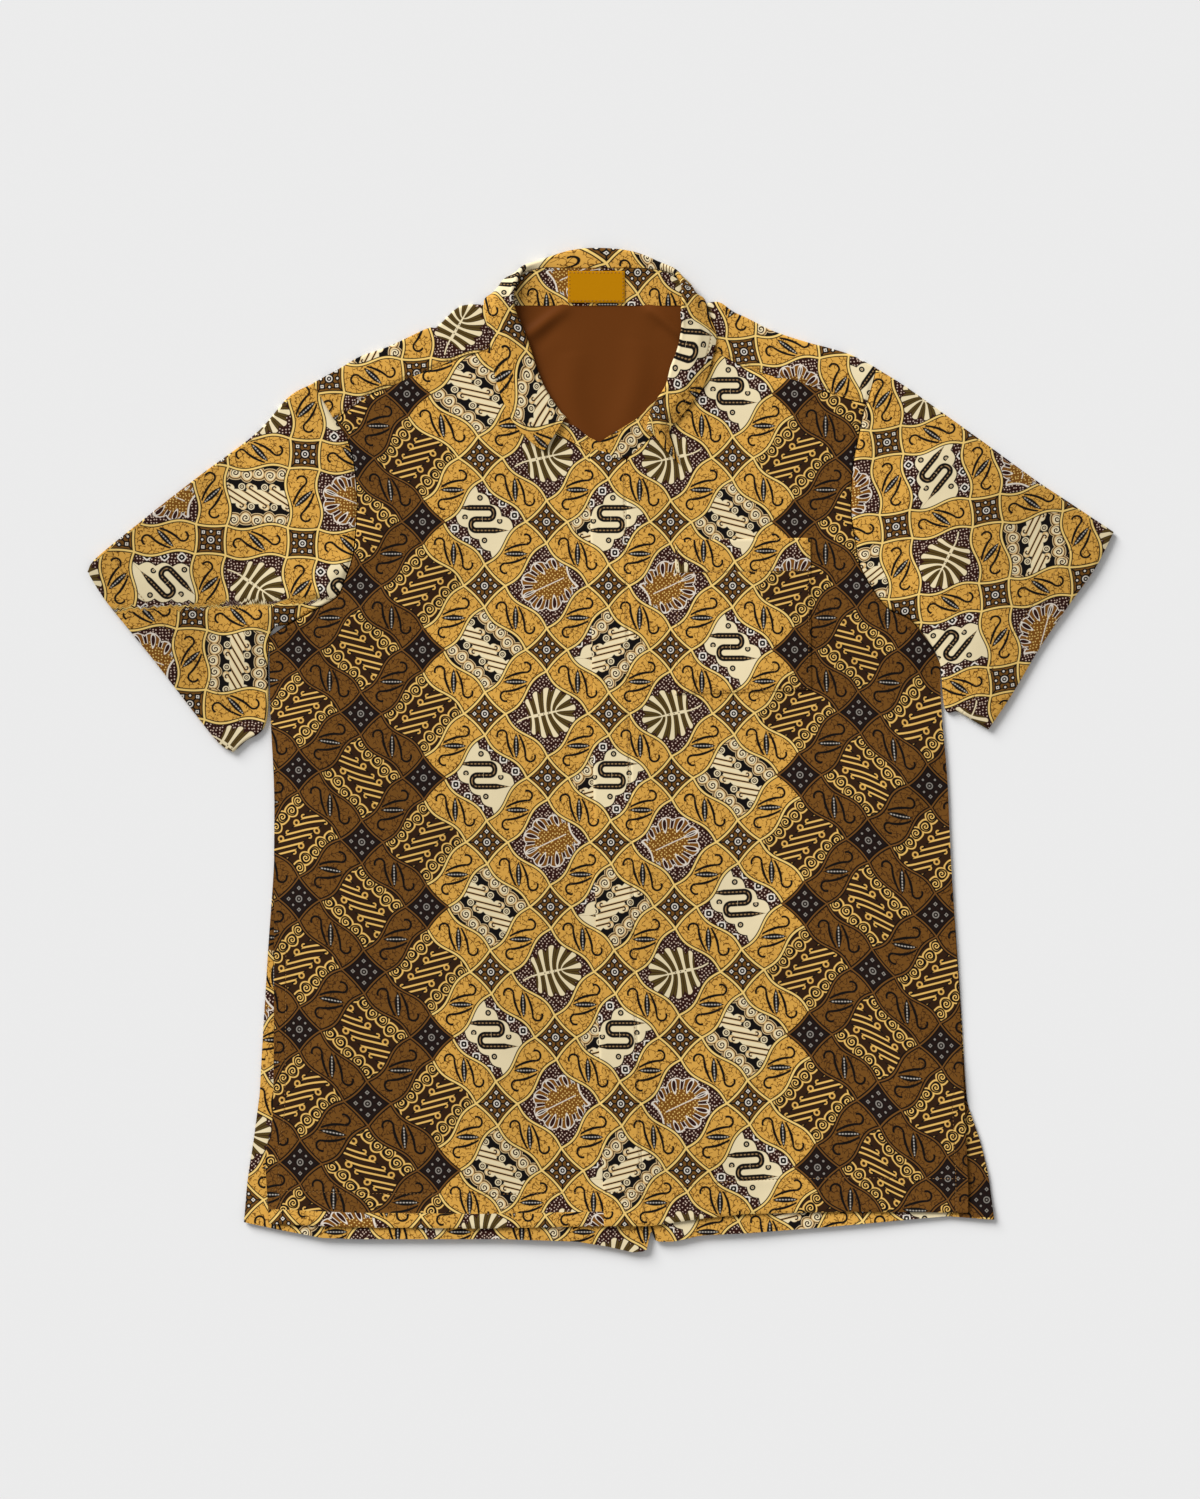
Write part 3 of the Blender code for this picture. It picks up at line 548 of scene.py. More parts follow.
def sew(piece, lines):
    """Joins rows of short threads to a piece, one row along each line of (x, y, z)."""
    points, faces = [], []
    for line in lines:
        length = length_of(line)
        first_share = np.arange(int(length / STITCH_PITCH)) * STITCH_PITCH / length
        starts, ends = (at(line, first_share + part * STITCH_PITCH / length, rounded=False)
                        for part in THREAD_SPAN)
        for start, end in zip(starts, ends):
            count = len(THREAD_RINGS) * THREAD_SIDES
            rings = np.arange(count).reshape(-1, THREAD_SIDES) + len(points)
            sides = quads_of(np.concatenate([rings, rings[:, :1]], axis=1))
            faces += [*sides.reshape(-1, 4).tolist(), rings[0][::-1].tolist(), rings[-1].tolist()]
            points += thread_at(start, end)
    mesh = bpy.data.meshes.new(piece.name + " stitches")
    mesh.from_pydata((np.array(points) * MM).tolist(), [], faces)
    for name in ("Cloth", "Sewn"):
        mesh.uv_layers.new(name=name)
    row = placed(piece.name + " stitches", mesh)
    mesh.materials.append(thread_material())
    mesh.shade_smooth()
    choose(row, piece)
    bpy.ops.object.join()


def sewn_cloth(name, grid, wall, finish, lattice, stitched, top=None, cornered=False, **more):
    """A piece with threads along its stitch lines, each given as (edge line, way to its left).

    Where the lines are cornered, each of their sides has its own row. The threads lie on the
    part of the grid in "top", or else on all of it.
    """
    off = stitch_offset(grid[..., 0], grid[..., 1], stitched)
    piece = make_cloth(name, grid, wall, finish, lattice, off, **more)
    top = grid if top is None else top
    rows = [(side, way) for line, way in stitched
            for side in (zip(line, line[1:]) if cornered else (line,))]
    sew(piece, [lifted(moved_aside(tuple(side), way), top, wall) for side, way in rows])
    return piece


def linear(hex_color):
    """Scene-linear red, green, blue and alpha of a color written as six hex digits."""
    parts = [int(hex_color[start:start + 2], 16) / 255 for start in (0, 2, 4)]
    return tuple(p / 12.92 if p <= 0.04045 else ((p + 0.055) / 1.055) ** 2.4 for p in parts) + (1.0,)


def feed(tree, value, socket):
    """Gives a socket a number or color, or links it to one."""
    if isinstance(value, Number):
        tree.links.new(value.source, socket)
    elif isinstance(value, bpy.types.NodeSocket):
        tree.links.new(value, socket)
    else:
        socket.default_value = value


def node(tree, kind, settings=(), **inputs):
    """A new shader node with its settings and its inputs, by name with _ for a space."""
    made = tree.nodes.new("ShaderNode" + kind)
    for name, value in dict(settings).items():
        setattr(made, name, value)
    for name, value in inputs.items():
        feed(tree, value, made.inputs[name.replace("_", " ")])
    return made


def told(operation):
    """A method that makes the node of one operation."""
    return lambda number, *others: number.made(operation, *others)


class Number:
    """A value in a node tree, so that a pattern can be written as plain sums.

    "part" is what is left above the whole number below.
    """

    def __init__(self, tree, source):
        self.tree = tree
        self.source = source

    def made(self, operation, *others, clamp=False):
        math_node = node(self.tree, "Math", {"operation": operation, "use_clamp": clamp})
        for socket, value in zip(math_node.inputs, (self, *others)):
            feed(self.tree, value, socket)
        return Number(self.tree, math_node.outputs[0])

    __add__, __sub__, __mul__ = told("ADD"), told("SUBTRACT"), told("MULTIPLY")
    __abs__, nearest, floor, lesser = (
        told("ABSOLUTE"), told("ROUND"), told("FLOOR"), told("MINIMUM"))
    part, sign, sine, cosine = told("FRACT"), told("SIGN"), told("SINE"), told("COSINE")

    def __neg__(self):
        return self * -1.0

    def scaled(self, factor, shift, clamp=False):
        return self.made("MULTIPLY_ADD", factor, shift, clamp=clamp)

    def from_nearest(self, pitch):
        """Distance past the nearest multiple of a pitch."""
        turned = self * (1 / pitch)
        return (turned - turned.nearest()) * pitch

    def under(self, limit, soft=0.006):
        """1 where the value is under the limit, with a soft edge."""
        return self.scaled(-1 / soft, limit / soft + 0.5, clamp=True)

    def over(self, limit, soft=0.006):
        return self.scaled(1 / soft, 0.5 - limit / soft, clamp=True)

    def between(self, low, high, soft=0.006):
        return abs(self - (low + high) / 2).under((high - low) / 2, soft)

    def either(self, *others):
        """The greatest of this value and others."""
        most = self
        for other in others:
            most = most.made("MAXIMUM", other)
        return most

    def toward(self, other, share):
        """This value moved toward another by a share."""
        gap = other - self if isinstance(other, Number) else self.scaled(-1.0, other)
        return gap * share + self

    def distance(self, other):
        """Length of the pair of this value and another."""
        return (self * self + other * other).made("SQRT")


def numbers_of(tree, vector):
    """The first two parts of a vector."""
    split = node(tree, "SeparateXYZ")
    tree.links.new(vector, split.inputs[0])
    return Number(tree, split.outputs[0]), Number(tree, split.outputs[1])


class Inks:
    """The colors of the print by name, and how they are laid over each other."""

    def __init__(self, tree, colors):
        self.tree = tree
        self.colors = colors

    def lay(self, base, *layers):
        """A color with others laid over it in turn, each as (color or its name, mask)."""
        for color, mask in layers:
            mixed = node(self.tree, "Mix", {"data_type": "RGBA"})
            for number, value in ((0, mask), (6, base), (7, color)):
                value = self.colors[value] if isinstance(value, str) else value
                feed(self.tree, value, mixed.inputs[number])
            base = mixed.outputs[2]
        return base


def new_group(name, inputs, outputs):
    """A shader node group with its named sockets, and its input and output nodes."""
    tree = bpy.data.node_groups.new(name, "ShaderNodeTree")
    for direction, sockets in (("INPUT", inputs), ("OUTPUT", outputs)):
        for label, kind in sockets.items():
            tree.interface.new_socket(name=label, in_out=direction,
                                      socket_type="NodeSocket" + kind)
    return tree, tree.nodes.new("NodeGroupInput"), tree.nodes.new("NodeGroupOutput")


# Shape of the lattice, in shares of its period.
SMALL_HALF = 0.168
PATCH_WIDTH = 1 - 2 * SMALL_HALF
LINE_SWING = 0.036
SMALL_DENT = 0.016
# Distances between the spirals of a rope, and between the bars.
ROPE_PITCH = 0.1275
BAR_PITCH = 0.25
# Middles of the round parts at a bar's ends, as (along, out from the middle line): bulb,
# swelling, curl, knob and notch.
CURL = (0.074, 0.102)
BAR_SPOTS = ((0.092, 0.112), (0.060, 0.085), CURL, (-0.071, 0.109), (-0.106, 0.072))
# Foci of a leaf on its rib, and how much more than the other the front one counts.
LEAF_BACK, LEAF_FRONT = -0.14, 0.26
LEAF_LEAN = 0.45
# Half width of the curling band's turns.
BAND_TURN = 0.0625
# A pod's half width and half length, and how far out a star's points stand.
POD_WIDE, POD_LONG = 0.034, 0.142
STAR_OUT = 0.118
SLANT = math.sqrt(0.5)

INK = {
    "line": "F3CE79", "crackle": "6B430F", "ground": "30120C", "white": "EDE4D6",
    "bark": "311C0B", "leaf": "55431A", "rust": "7E4F17", "small": "714B1B",
    "night": "20120E", "brown": "32190A", "halo": "D8AC68", "dusk_line": "744C1F",
    "dusk_crackle": "3E230A", "dots": "E3C9B4", "bead": "A9875A",
}
DYES = ("Ochre", "Cream", "Black", "Dusk", "Gold")


def print_frame(i, j, phase, zone):
    """Where a place lies in its diamond and patch, and which motif the patch holds."""
    i_near, j_near, i_low, j_low = i.nearest(), j.nearest(), i.floor(), j.floor()
    column = i_low - j_low
    row = (i_low + j_low).scaled(0.5, 0.5).floor()
    odd = (column * 0.5).part() * 2.0
    kind = ((row + column.scaled(0.5, 0.5).floor() + phase + odd) * 0.5).part() * 2.0
    dusky_patch = (abs(column) - zone).over(0.0)
    dusky_small = (abs(i_near - j_near) - zone).over(0.0)
    dusky_panel = (abs(i - j) - zone).over(0.5, 0.02)
    lean = (column * 0.25).part().scaled(-2.0, 1.0)
    lean = lean.toward(phase.scaled(-1.0, 1.0), odd).toward(odd, dusky_patch)
    places = j_near - j, i - i_near, (j_low - j) + 0.5, (i - i_low) - 0.5
    return places, (odd, kind, lean), (dusky_patch, dusky_small, dusky_panel)


def slanted_motif(inks, along, across, dusky):
    """Hooked bars between two ropes of spirals, pale by day and drawn in gold at dusk."""
    run, far = along * across.sign(), abs(across)
    ring = run.from_nearest(ROPE_PITCH)
    ring_up = far - (run * (math.pi / ROPE_PITCH)).cosine() * 0.013 - 0.252
    radius = ring.distance(ring_up)
    winding = (radius * 33.0 + ring_up.made("ARCTAN2", ring) * (0.5 / math.pi)).part()
    coil = abs(winding - 0.5).under(0.23, 0.06) * radius.under(0.046)
    stripe = abs(((along - across * 1.65) * (1 / BAR_PITCH)).from_nearest(1.0))
    stroke = abs(stripe - 0.226)
    bulb, swelling, curl, knob, notch = (
        (run - middle).from_nearest(BAR_PITCH).distance(far - out) for middle, out in BAR_SPOTS)
    curl_run, curl_up = (run - CURL[0]).from_nearest(BAR_PITCH), far - CURL[1]
    open_side = curl_run.under(0.0, 0.002) * curl_up.under(0.004, 0.002)
    hook = curl.between(0.011, 0.027) * open_side.scaled(-1.0, 1.0)
    lines = (stroke.under(0.060, 0.02) * far.under(0.093)).either(hook)
    bars = far.under(0.080).either(bulb.under(0.038), swelling.under(0.050))
    bars = bars * knob.over(0.043) * notch.over(0.017)
    glow = bars * stroke.under(0.10, 0.07).either(bulb.between(0.026, 0.038, 0.01))
    glow = glow.either(radius.between(0.052, 0.080, 0.006))
    drawn = (lines * bars).either(knob.between(0.014, 0.026), knob.under(0.006),
                                  radius.between(0.063, 0.074), coil)
    day = inks.lay(
        "black", ("cream", bars.either(knob.under(0.038), radius.under(0.082))),
        ("halo", glow * 0.8), ("brown", drawn))
    shade = (stroke.under(0.130, 0.05) * far.under(0.110)).either(
        curl.under(0.036), radius.under(0.066), notch.under(0.02))
    bright = (stroke.under(0.080, 0.03) * far.under(0.096)).either(
        hook, knob.between(0.018, 0.036), radius.between(0.062, 0.080), coil)
    thread = abs(winding - 0.5).under(0.10, 0.06) * radius.under(0.044)
    core = (stroke.under(0.030, 0.03) * far.under(0.090)).either(
        radius.between(0.068, 0.075), thread)
    night = inks.lay("bark", ("black", shade), ("gold", bright * 0.95), ("line", core * 0.75))
    return inks.lay(day, (night, dusky))


def hairpin(x, y):
    """Distance to a bar that turns back on itself at its right end, as far as the middle."""
    bar = abs((x - 0.07).either(0.0).distance(y + BAND_TURN) - BAND_TURN)
    return bar + x.under(0.0, 0.002) * y.over(-BAND_TURN, 0.002)


def curling_motif(inks, x, y, along, across, dotted):
    """A pale field with a curling band and eyes, between rows of small lozenges."""
    middle_x, middle_y = x + 0.025, y + 0.03
    sway = hairpin(middle_x, middle_y).lesser(hairpin(-middle_x, -middle_y))
    bent_x, bent_y = -(middle_x * middle_y.sign()), -abs(middle_y)
    thick = abs(middle_x).scaled(-6.5, 1.95, clamp=True) * 0.032
    band = (sway - thick).under(0.0)
    eye = (bent_x + 0.024).distance(bent_y + 0.235).lesser((bent_x + 0.198).distance(bent_y + 0.02))
    far = abs(across)
    edge = far - abs((along * 17.0).cosine()) * 0.040
    run, up = along.from_nearest(0.19), far - 0.292
    lozenge = run.distance(up) * 0.5 + (abs(run) + abs(up)) * 0.42
    inside = edge.under(0.176)
    beads = (x * 150.0).sine().scaled(0.5, 0.5)
    return inks.lay(
        dotted, ("black", lozenge.under(0.034)),
        ("white", lozenge.between(0.034, 0.050).either(lozenge.under(0.011))),
        ("black", edge.between(0.180, 0.192)), ("cream", edge.under(0.180)),
        ("black", band.either(eye.between(0.014, 0.033)) * inside),
        ("bead", sway.under(0.006) * band * beads * inside), ("rust", eye.under(0.008)))


def leaf_motif(inks, x, y, kind, dotted, speckle):
    """A split leaf with fingers on both sides of its rib, filled pale or drawn in outline.

    The fingers follow hyperbolas round two foci on the rib, so they leave it square and bend
    toward the tip.
    """
    run = (x * 0.978 - y * 0.208).scaled(0.97, 0.145)
    run = run.toward((x * -0.913 + y * 0.41).scaled(0.90, 0.195), kind)
    side = (x * 0.208 + y * 0.978).scaled(0.97, 0.005)
    side = side.toward((x * -0.41 - y * 0.913) * 0.93, kind)
    back, front = (run - LEAF_BACK).distance(side), (run - LEAF_FRONT).distance(side)
    apart = LEAF_FRONT - LEAF_BACK
    opening = ((back - front) * (1 / apart)).made("ARCCOSINE")
    reach = back * (1 - LEAF_LEAN) + front * (1 + LEAF_LEAN)
    way_out = (back + front - apart).made("DIVIDE", (back - front) * LEAF_LEAN + 0.24)
    lobe = abs((opening * kind.scaled(-0.76, 2.55) + 0.5).part() - 0.5)
    rim = reach + lobe * lobe * kind.scaled(-0.12, 0.42)
    sides = opening - kind * 0.10
    leaf = rim.under(0.640, 0.012) * sides.under(2.14, 0.03)
    thin, past = abs(side), lobe - reach * 0.20
    stem = abs(side - run * run * 1.2 - run * 0.10).under(0.0075) * run.between(-0.20, 0.02)
    rib = (thin + run * 0.035).under(0.017) * run.between(-0.01, 0.33)
    bead = run.from_nearest(0.055).distance(side).under(0.0065) * run.between(0.02, 0.20)
    filled = inks.lay(
        dotted, ("ground", rim.under(0.668, 0.012) * sides.under(2.2, 0.03)), ("leaf", leaf),
        ("ground", leaf * past.between(0.10, 0.15, 0.03)), ("ground", leaf * lobe.over(0.47, 0.03)),
        ("cream", (leaf * past.under(0.095, 0.03)).either(stem, rib)), ("ground", bead))
    hole = (lobe * 1.7).distance(way_out.scaled(0.75, -0.45))
    slit = lobe.over(0.41, 0.03) * way_out.over(0.40, 0.02)
    drawn = (lobe.between(0.36, 0.41, 0.02) * way_out.over(0.38, 0.02)).either(
        hole.between(0.20, 0.28, 0.02), thin.under(0.005) * run.over(0.0))
    drawn = (drawn * rim.under(0.62)).either(rim.between(0.618, 0.640), sides.between(2.04, 2.14))
    lined = inks.lay(
        dotted, ("rust", leaf), ("line", leaf * way_out.under(0.50, 0.05) * speckle),
        ("ground", leaf * slit.either(hole.under(0.20))),
        ("white", drawn * sides.under(2.14) * rim.under(0.642) * 0.9))
    return inks.lay(filled, (lined, kind))


def panel_motif(inks, along, across, cloth, dusky):
    """A pod between two curls, on crackled ground."""
    patchy = node(inks.tree, "TexNoise", {"noise_dimensions": "2D"}, Vector=cloth, Scale=15.0,
                  Detail=3.0)
    wander = node(inks.tree, "VectorMath", {"operation": "MULTIPLY_ADD"})
    for socket, value in zip(wander.inputs, (patchy.outputs[1], (0.08, 0.08, 0.0), cloth)):
        feed(inks.tree, value, socket)
    cracks = node(inks.tree, "TexVoronoi",
                  {"voronoi_dimensions": "2D", "feature": "DISTANCE_TO_EDGE"},
                  Vector=wander.outputs[0], Scale=19.0)
    crackle = Number(inks.tree, cracks.outputs["Distance"]).under(0.085, 0.06)
    crackle = crackle * Number(inks.tree, patchy.outputs[0]).over(0.45, 0.06)
    px, py = (along + across) * SLANT, (along - across) * SLANT
    ax = abs(px)
    pod = ((py * py) * (POD_WIDE / POD_LONG**2) + ax).under(POD_WIDE)
    hx, hy = -ax, -(py * px.sign())
    stem = abs(hx + 0.0865 - hy * 0.29 - hy * hy * 1.15)
    stem = (stem + abs(hy) * 0.03).under(0.0150) * hy.between(-0.120, 0.125)
    hook = abs((hx + 0.16).distance(hy + 0.118) - 0.055)
    hook = hook.under(0.0115) * (hy.under(-0.118).either(hx.under(-0.18) * hy.under(-0.095)))
    seeds = (py * 190.0).sine().scaled(0.3, 0.35)
    plain, crackle_ink = (inks.lay(day, (night, dusky))
                          for day, night in (("ochre", "dusk"), ("crackle", "dusk_crackle")))
    return inks.lay(plain, (crackle_ink, crackle * 0.95), ("black", pod.either(stem, hook)),
                    ("white", ax.under(0.0065) * abs(py).under(0.110) * seeds))


def star_motif(inks, u, v, inner, dusky):
    """A star of dots in a small diamond."""
    sx, sy = abs(u + v) * SLANT, abs(v - u) * SLANT
    point = abs(sx.either(sy) - STAR_OUT) + sx.lesser(sy)
    dot = (abs(u).either(abs(v)) - 0.094).distance(abs(u).lesser(abs(v)))
    hub = u.distance(v)
    star = point.under(0.046).either(dot.under(0.028), hub.under(0.056),
                                     inner.between(-0.058, -0.046), sx.lesser(sy).under(0.008))
    light = point.between(0.010, 0.024).either(dot.under(0.012), hub.under(0.010),
                                               hub.between(0.026, 0.038))
    return inks.lay("small", ("night", dusky),
                    ("black", star * inner.under(-0.012) * dusky.scaled(-0.5, 1.0)),
                    ("white", light * dusky.scaled(-0.58, 0.9)))


def batik_print():
    """Group that turns lattice coordinates into the color of the printed cotton."""
    tree, given, result = new_group(
        "Batik print",
        {"Cloth": "Vector", "Zone": "Float", "Phase": "Float"} | dict.fromkeys(DYES, "Color"),
        {"Color": "Color"})
    inks = Inks(tree, {name: linear(code) for name, code in INK.items()})
    inks.colors |= {dye.lower(): given.outputs[dye] for dye in DYES}
    cloth = given.outputs["Cloth"]
    zone, phase = (Number(tree, given.outputs[label]) for label in ("Zone", "Phase"))
    places, (odd, kind, lean), (dusky_patch, dusky_small, dusky_panel) = print_frame(
        *numbers_of(tree, cloth), phase, zone)
    u, v, patch_u, patch_v = places

    # The lattice's lines swing to and fro between the small diamonds, whose sides dent inward.
    swing_u, swing_v = ((place.scaled(1 / PATCH_WIDTH, 0.5, clamp=True) * (2 * math.pi)).sine()
                        * LINE_SWING for place in (patch_u, patch_v))
    line_u, line_v = u + swing_v, v - swing_u
    dent_u, dent_v = ((line * line).scaled(-SMALL_DENT / SMALL_HALF**2, SMALL_DENT).either(0.0)
                      for line in (line_u, line_v))
    edge_u, edge_v = abs(line_u) + dent_v - SMALL_HALF, abs(line_v) + dent_u - SMALL_HALF
    near_line, edge = abs(edge_u).lesser(abs(edge_v)), edge_u.either(edge_v)
    in_u, in_v = edge_u.under(0.0), edge_v.under(0.0)
    small = in_u * in_v

    along, across = patch_v.toward(-patch_u, lean), patch_u.toward(-patch_v, lean)
    x, y = (across + along) * SLANT, (along - across) * SLANT
    dots = node(tree, "TexVoronoi", {"voronoi_dimensions": "2D"}, Vector=cloth, Scale=29.0,
                Randomness=0.5)
    dotting = Number(tree, dots.outputs["Distance"]).under(0.22, 0.12) * 0.85
    dotted = inks.lay("ground", ("dots", dotting))
    bars = slanted_motif(inks, along, across, dusky_patch)
    curl = curling_motif(inks, x, y, along, across, dotted)
    leaves = leaf_motif(inks, x, y.toward(-y, lean), kind, dotted, dotting)
    plain = panel_motif(inks, patch_u.toward(patch_v, in_u), (-v).toward(u, in_u), cloth,
                        dusky_panel)
    star = star_motif(inks, u, v, edge, dusky_small)
    dusky_rule = dusky_panel.either(edge.under(0.02) * dusky_small)
    rule = inks.lay("line", ("dusk_line", dusky_rule))
    color = inks.lay(
        curl, (bars, kind), (leaves, odd), (bars, dusky_patch),
        (plain, in_u + in_v - small * 2.0), (star, small), ("black", near_line.under(0.0225)),
        (rule, (near_line + dusky_rule * 0.0035).under(0.0108)))
    tree.links.new(color, result.inputs["Color"])
    return tree


def noise(tree, place, **inputs):
    """Noise over the place that it reads."""
    return Number(tree, node(tree, "TexNoise", Vector=place, **inputs).outputs[0])


def new_material(name, roughness, specular=0.5):
    """A material, its node tree and its shader."""
    made = bpy.data.materials.new(name)
    made.use_nodes = True
    shader = made.node_tree.nodes["Principled BSDF"]
    shader.inputs["Roughness"].default_value = roughness
    shader.inputs["Specular IOR Level"].default_value = specular
    return made, made.node_tree, shader


def cotton_relief():
    """Group for printed cotton's surface: its normal, and its color with random tone and painted
    shade.
    """
    tree, given, result = new_group(
        "Cotton relief", {"Place": "Vector", "Sewn": "Vector", "Color": "Color"},
        {"Color": "Color", "Normal": "Vector"})
    place = given.outputs["Place"]
    off = abs(numbers_of(tree, given.outputs["Sewn"])[0])
    groove = off.scaled(-1 / STITCH_GROOVE, 1.0, clamp=True)
    pucker = off.scaled(-1 / STITCH_PUCKER, 1.0, clamp=True)
    height = noise(tree, place, Scale=150.0, Detail=1.0) * pucker * 0.55 - groove * 0.45
    creases = noise(tree, place, Scale=26.0, Detail=3.0, Distortion=0.4)
    height = height + creases * 0.9 + noise(tree, place, Scale=1300.0) * 0.10
    bump = node(tree, "Bump", Strength=0.55, Distance=0.0011, Height=height)
    across, up = numbers_of(tree, place)
    aside = abs(across)
    # Painted shade: the lower middle of the shirt is darker.
    painted_shade_low_middle = aside.under(0.15, 0.05) * up.under(0.0, 0.12)
    # Random tone, with painted shade darkening the stitch grooves.
    shade = noise(tree, place, Scale=9.0, Detail=4.0).scaled(0.30, 0.785) - groove * 0.10
    # Painted shade: the sleeves, out past 0.31 m to each side, are darker.
    shade = shade - aside.over(0.31, 0.06) * 0.18 - painted_shade_low_middle * 0.07
    gray = node(tree, "CombineXYZ", X=shade, Y=shade, Z=shade)
    tone_and_painted_shade = node(tree, "Mix", {"data_type": "RGBA", "blend_type": "MULTIPLY"})
    for number, value in ((0, 1.0), (6, given.outputs["Color"]), (7, gray.outputs[0])):
        feed(tree, value, tone_and_painted_shade.inputs[number])
    tree.links.new(tone_and_painted_shade.outputs[2], result.inputs["Color"])
    tree.links.new(bump.outputs[0], result.inputs["Normal"])
    return tree


def group_named(name, builder):
    return bpy.data.node_groups.get(name) or builder()


def printed_cotton(name, zone, phase, jump=None):
    """Material of one printed piece; zone and phase choose its stretch of the print.

    Where "Sewn" is below 0 in its second part, the print jumps by so many lattice steps.
    """
    colors = bpy.context.scene.batik_shirt
    made, tree, shader = new_material("printed cotton " + name, 0.82, 0.1)
    cloth, sewn = (node(tree, "UVMap", {"uv_map": label}).outputs[0] for label in ("Cloth", "Sewn"))
    ink = node(tree, "Group", {"node_tree": group_named("Batik print", batik_print)},
               Cloth=cloth, Zone=zone, Phase=phase)
    if jump:
        turned = numbers_of(tree, sewn)[1].under(0.0, 0.05)
        step = node(tree, "CombineXYZ", X=turned * jump[0], Y=turned * jump[1])
        moved = node(tree, "VectorMath")
        for socket, value in zip(moved.inputs, (cloth, step.outputs[0])):
            feed(tree, value, socket)
        feed(tree, moved.outputs[0], ink.inputs["Cloth"])
        feed(tree, turned.scaled(NO_ZONE - zone, zone), ink.inputs["Zone"])
    for dye in DYES:
        ink.inputs[dye].default_value = (*getattr(colors, dye.lower()), 1.0)
    place = node(tree, "TexCoord").outputs["Object"]
    relief = node(tree, "Group", {"node_tree": group_named("Cotton relief", cotton_relief)},
                  Place=place, Sewn=sewn, Color=ink.outputs["Color"])
    tree.links.new(relief.outputs["Color"], shader.inputs["Base Color"])
    tree.links.new(relief.outputs["Normal"], shader.inputs["Normal"])
    return made


def thread_material():
    found = bpy.data.materials.get("sewing thread")
    if found:
        return found
    made, _, shader = new_material("sewing thread", 0.6)
    shader.inputs["Base Color"].default_value = (*bpy.context.scene.batik_shirt.thread, 1.0)
    return made


def satin(name, color, roughness, scale):
    """Smooth satin whose fine threads run along one way."""
    made, tree, shader = new_material(name, roughness, 0.03)
    place = node(tree, "TexCoord").outputs["Object"]
    stretch = node(tree, "Mapping", Vector=place, Scale=(scale, scale * 0.12, scale))
    threads = noise(tree, stretch.outputs[0])
    height = threads * 0.12 + noise(tree, place, Scale=18.0) * 0.9
    bump = node(tree, "Bump", Strength=0.5, Distance=0.001, Height=height)
    darker = tuple(channel * 0.72 for channel in color)
    shown = Inks(tree, {}).lay((*darker, 1.0), ((*color, 1.0), threads.scaled(0.5, 0.75)))
    tree.links.new(bump.outputs[0], shader.inputs["Normal"])
    tree.links.new(shown, shader.inputs["Base Color"])
    return made


def declare(piece, slot, flat, area, rests_on):
    """Gives a finished piece its body and hides the imported part that it stands in for."""
    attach(piece, BODY)
    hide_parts(piece.name.removesuffix("_cloth"))
    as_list(rests_on)


def laid(plan, underside, wall):
    """Middle surface of a wall with this underside above a plan; all layers curl up at the hem."""
    curl = HEM_CURL * smooth((HEM_CURL_FROM - plan[..., 1]) / HEM_CURL_RUN)
    return np.dstack([plan[..., 0], plan[..., 1], underside + wall / 2 + curl])


def neck_line(sections):
    """Points (x, y) of the neck seam of these collar or stand sections."""
    return [section[0][:2] for section in sections]


def side_height(x, y, edge, vent_top):
    """Underside of a front, which comes down to the back along its closed side seam."""
    closed = smooth((y - vent_top) / VENT_EASE) * smooth((ARM_FROM_RIGHT - y) / ARMPIT_EASE)
    drop = (TOP_LAYER - SEAM_LAYER) * (1 - smooth(distance_to(x, y, edge) / SIDE_DROP))
    return TOP_LAYER - drop * closed


def left_front_height(x, y):
    """Underside of the left front, which rises to the placket."""
    rise = smooth((RISE_FROM - x) / (RISE_FROM - RISE_TO))
    height = side_height(x, y, FRONT_SIDE_LEFT, VENT_TOP_LEFT)
    return height + (PLACKET_LAYER - TOP_LAYER) * rise + fold_height(x, y) * (1 - rise)


def turned_hem(away, step=0.45):
    """Height that a turned hem adds at this distance from its edge."""
    return step * smooth((HEM_DEPTH + 0.8 - away) / 1.6) - dip(away, *HEM_DIP)


def build_back(wall, pitch):
    along_hem = marks(length_of(BACK_HEM), pitch)
    low = marks(length_of(SIDE_RIGHT), pitch, fine_end=False)
    high = marks(BACK_ARM, pitch, fine_start=False)[1:]
    left, right = (np.concatenate([at(side, low), at(armhole, high)]) for side, armhole in (
        (SIDE_RIGHT, ARMHOLE_RIGHT), (SIDE_LEFT, ARMHOLE_LEFT)))
    top = at((ARMHOLE_RIGHT[-1], ARMHOLE_LEFT[-1]), along_hem, rounded=False)
    plan = patch(left, right, at(BACK_HEM, along_hem, rounded=False), top)
    x, y = plan[..., 0], plan[..., 1]
    underside = 0.12 - 0.12 * smooth(distance_to(x, y, BACK_HEM) / 6)
    return make_cloth("back_cloth", laid(plan, underside, wall), wall,
                      printed_cotton("back", BODY_ZONE, 0), lattice_at(x, y, BODY_PRINT),
                      stitch_offset(x, y, [(BACK_HEM, HEM_DEPTH)]))


def front_plan(side, armhole, seam, edge, hem, neck, pitch, sign):
    """Grid of a front between its side and armhole, hem, center edge, and shoulder and neck."""
    armhole = moved_aside(armhole, -sign * SEAM_LAP)
    low = marks(length_of(side), pitch, fine_end=False)
    high = marks(length_of(armhole), pitch, fine_start=False)[1:]
    outer = np.concatenate([at(side, low), at(armhole, high)])
    corner = slice(len(low) - 1, len(low) + 2)
    outer[corner] = mix(outer[corner], side[-1], 0.35)
    top = np.concatenate([at(seam, marks(length_of(seam), pitch, fine_end=False)),
                          at(neck, marks(length_of(neck), pitch, fine_start=False)[1:])])
    bottom = at(hem, shares_of(top), rounded=False)
    inner = at(edge, shares_of(outer))
    outer[-1], inner[-1] = top[0], top[-1]
    if sign > 0:
        return patch(outer, inner, bottom, top)
    return patch(inner, outer, bottom[::-1], top[::-1])


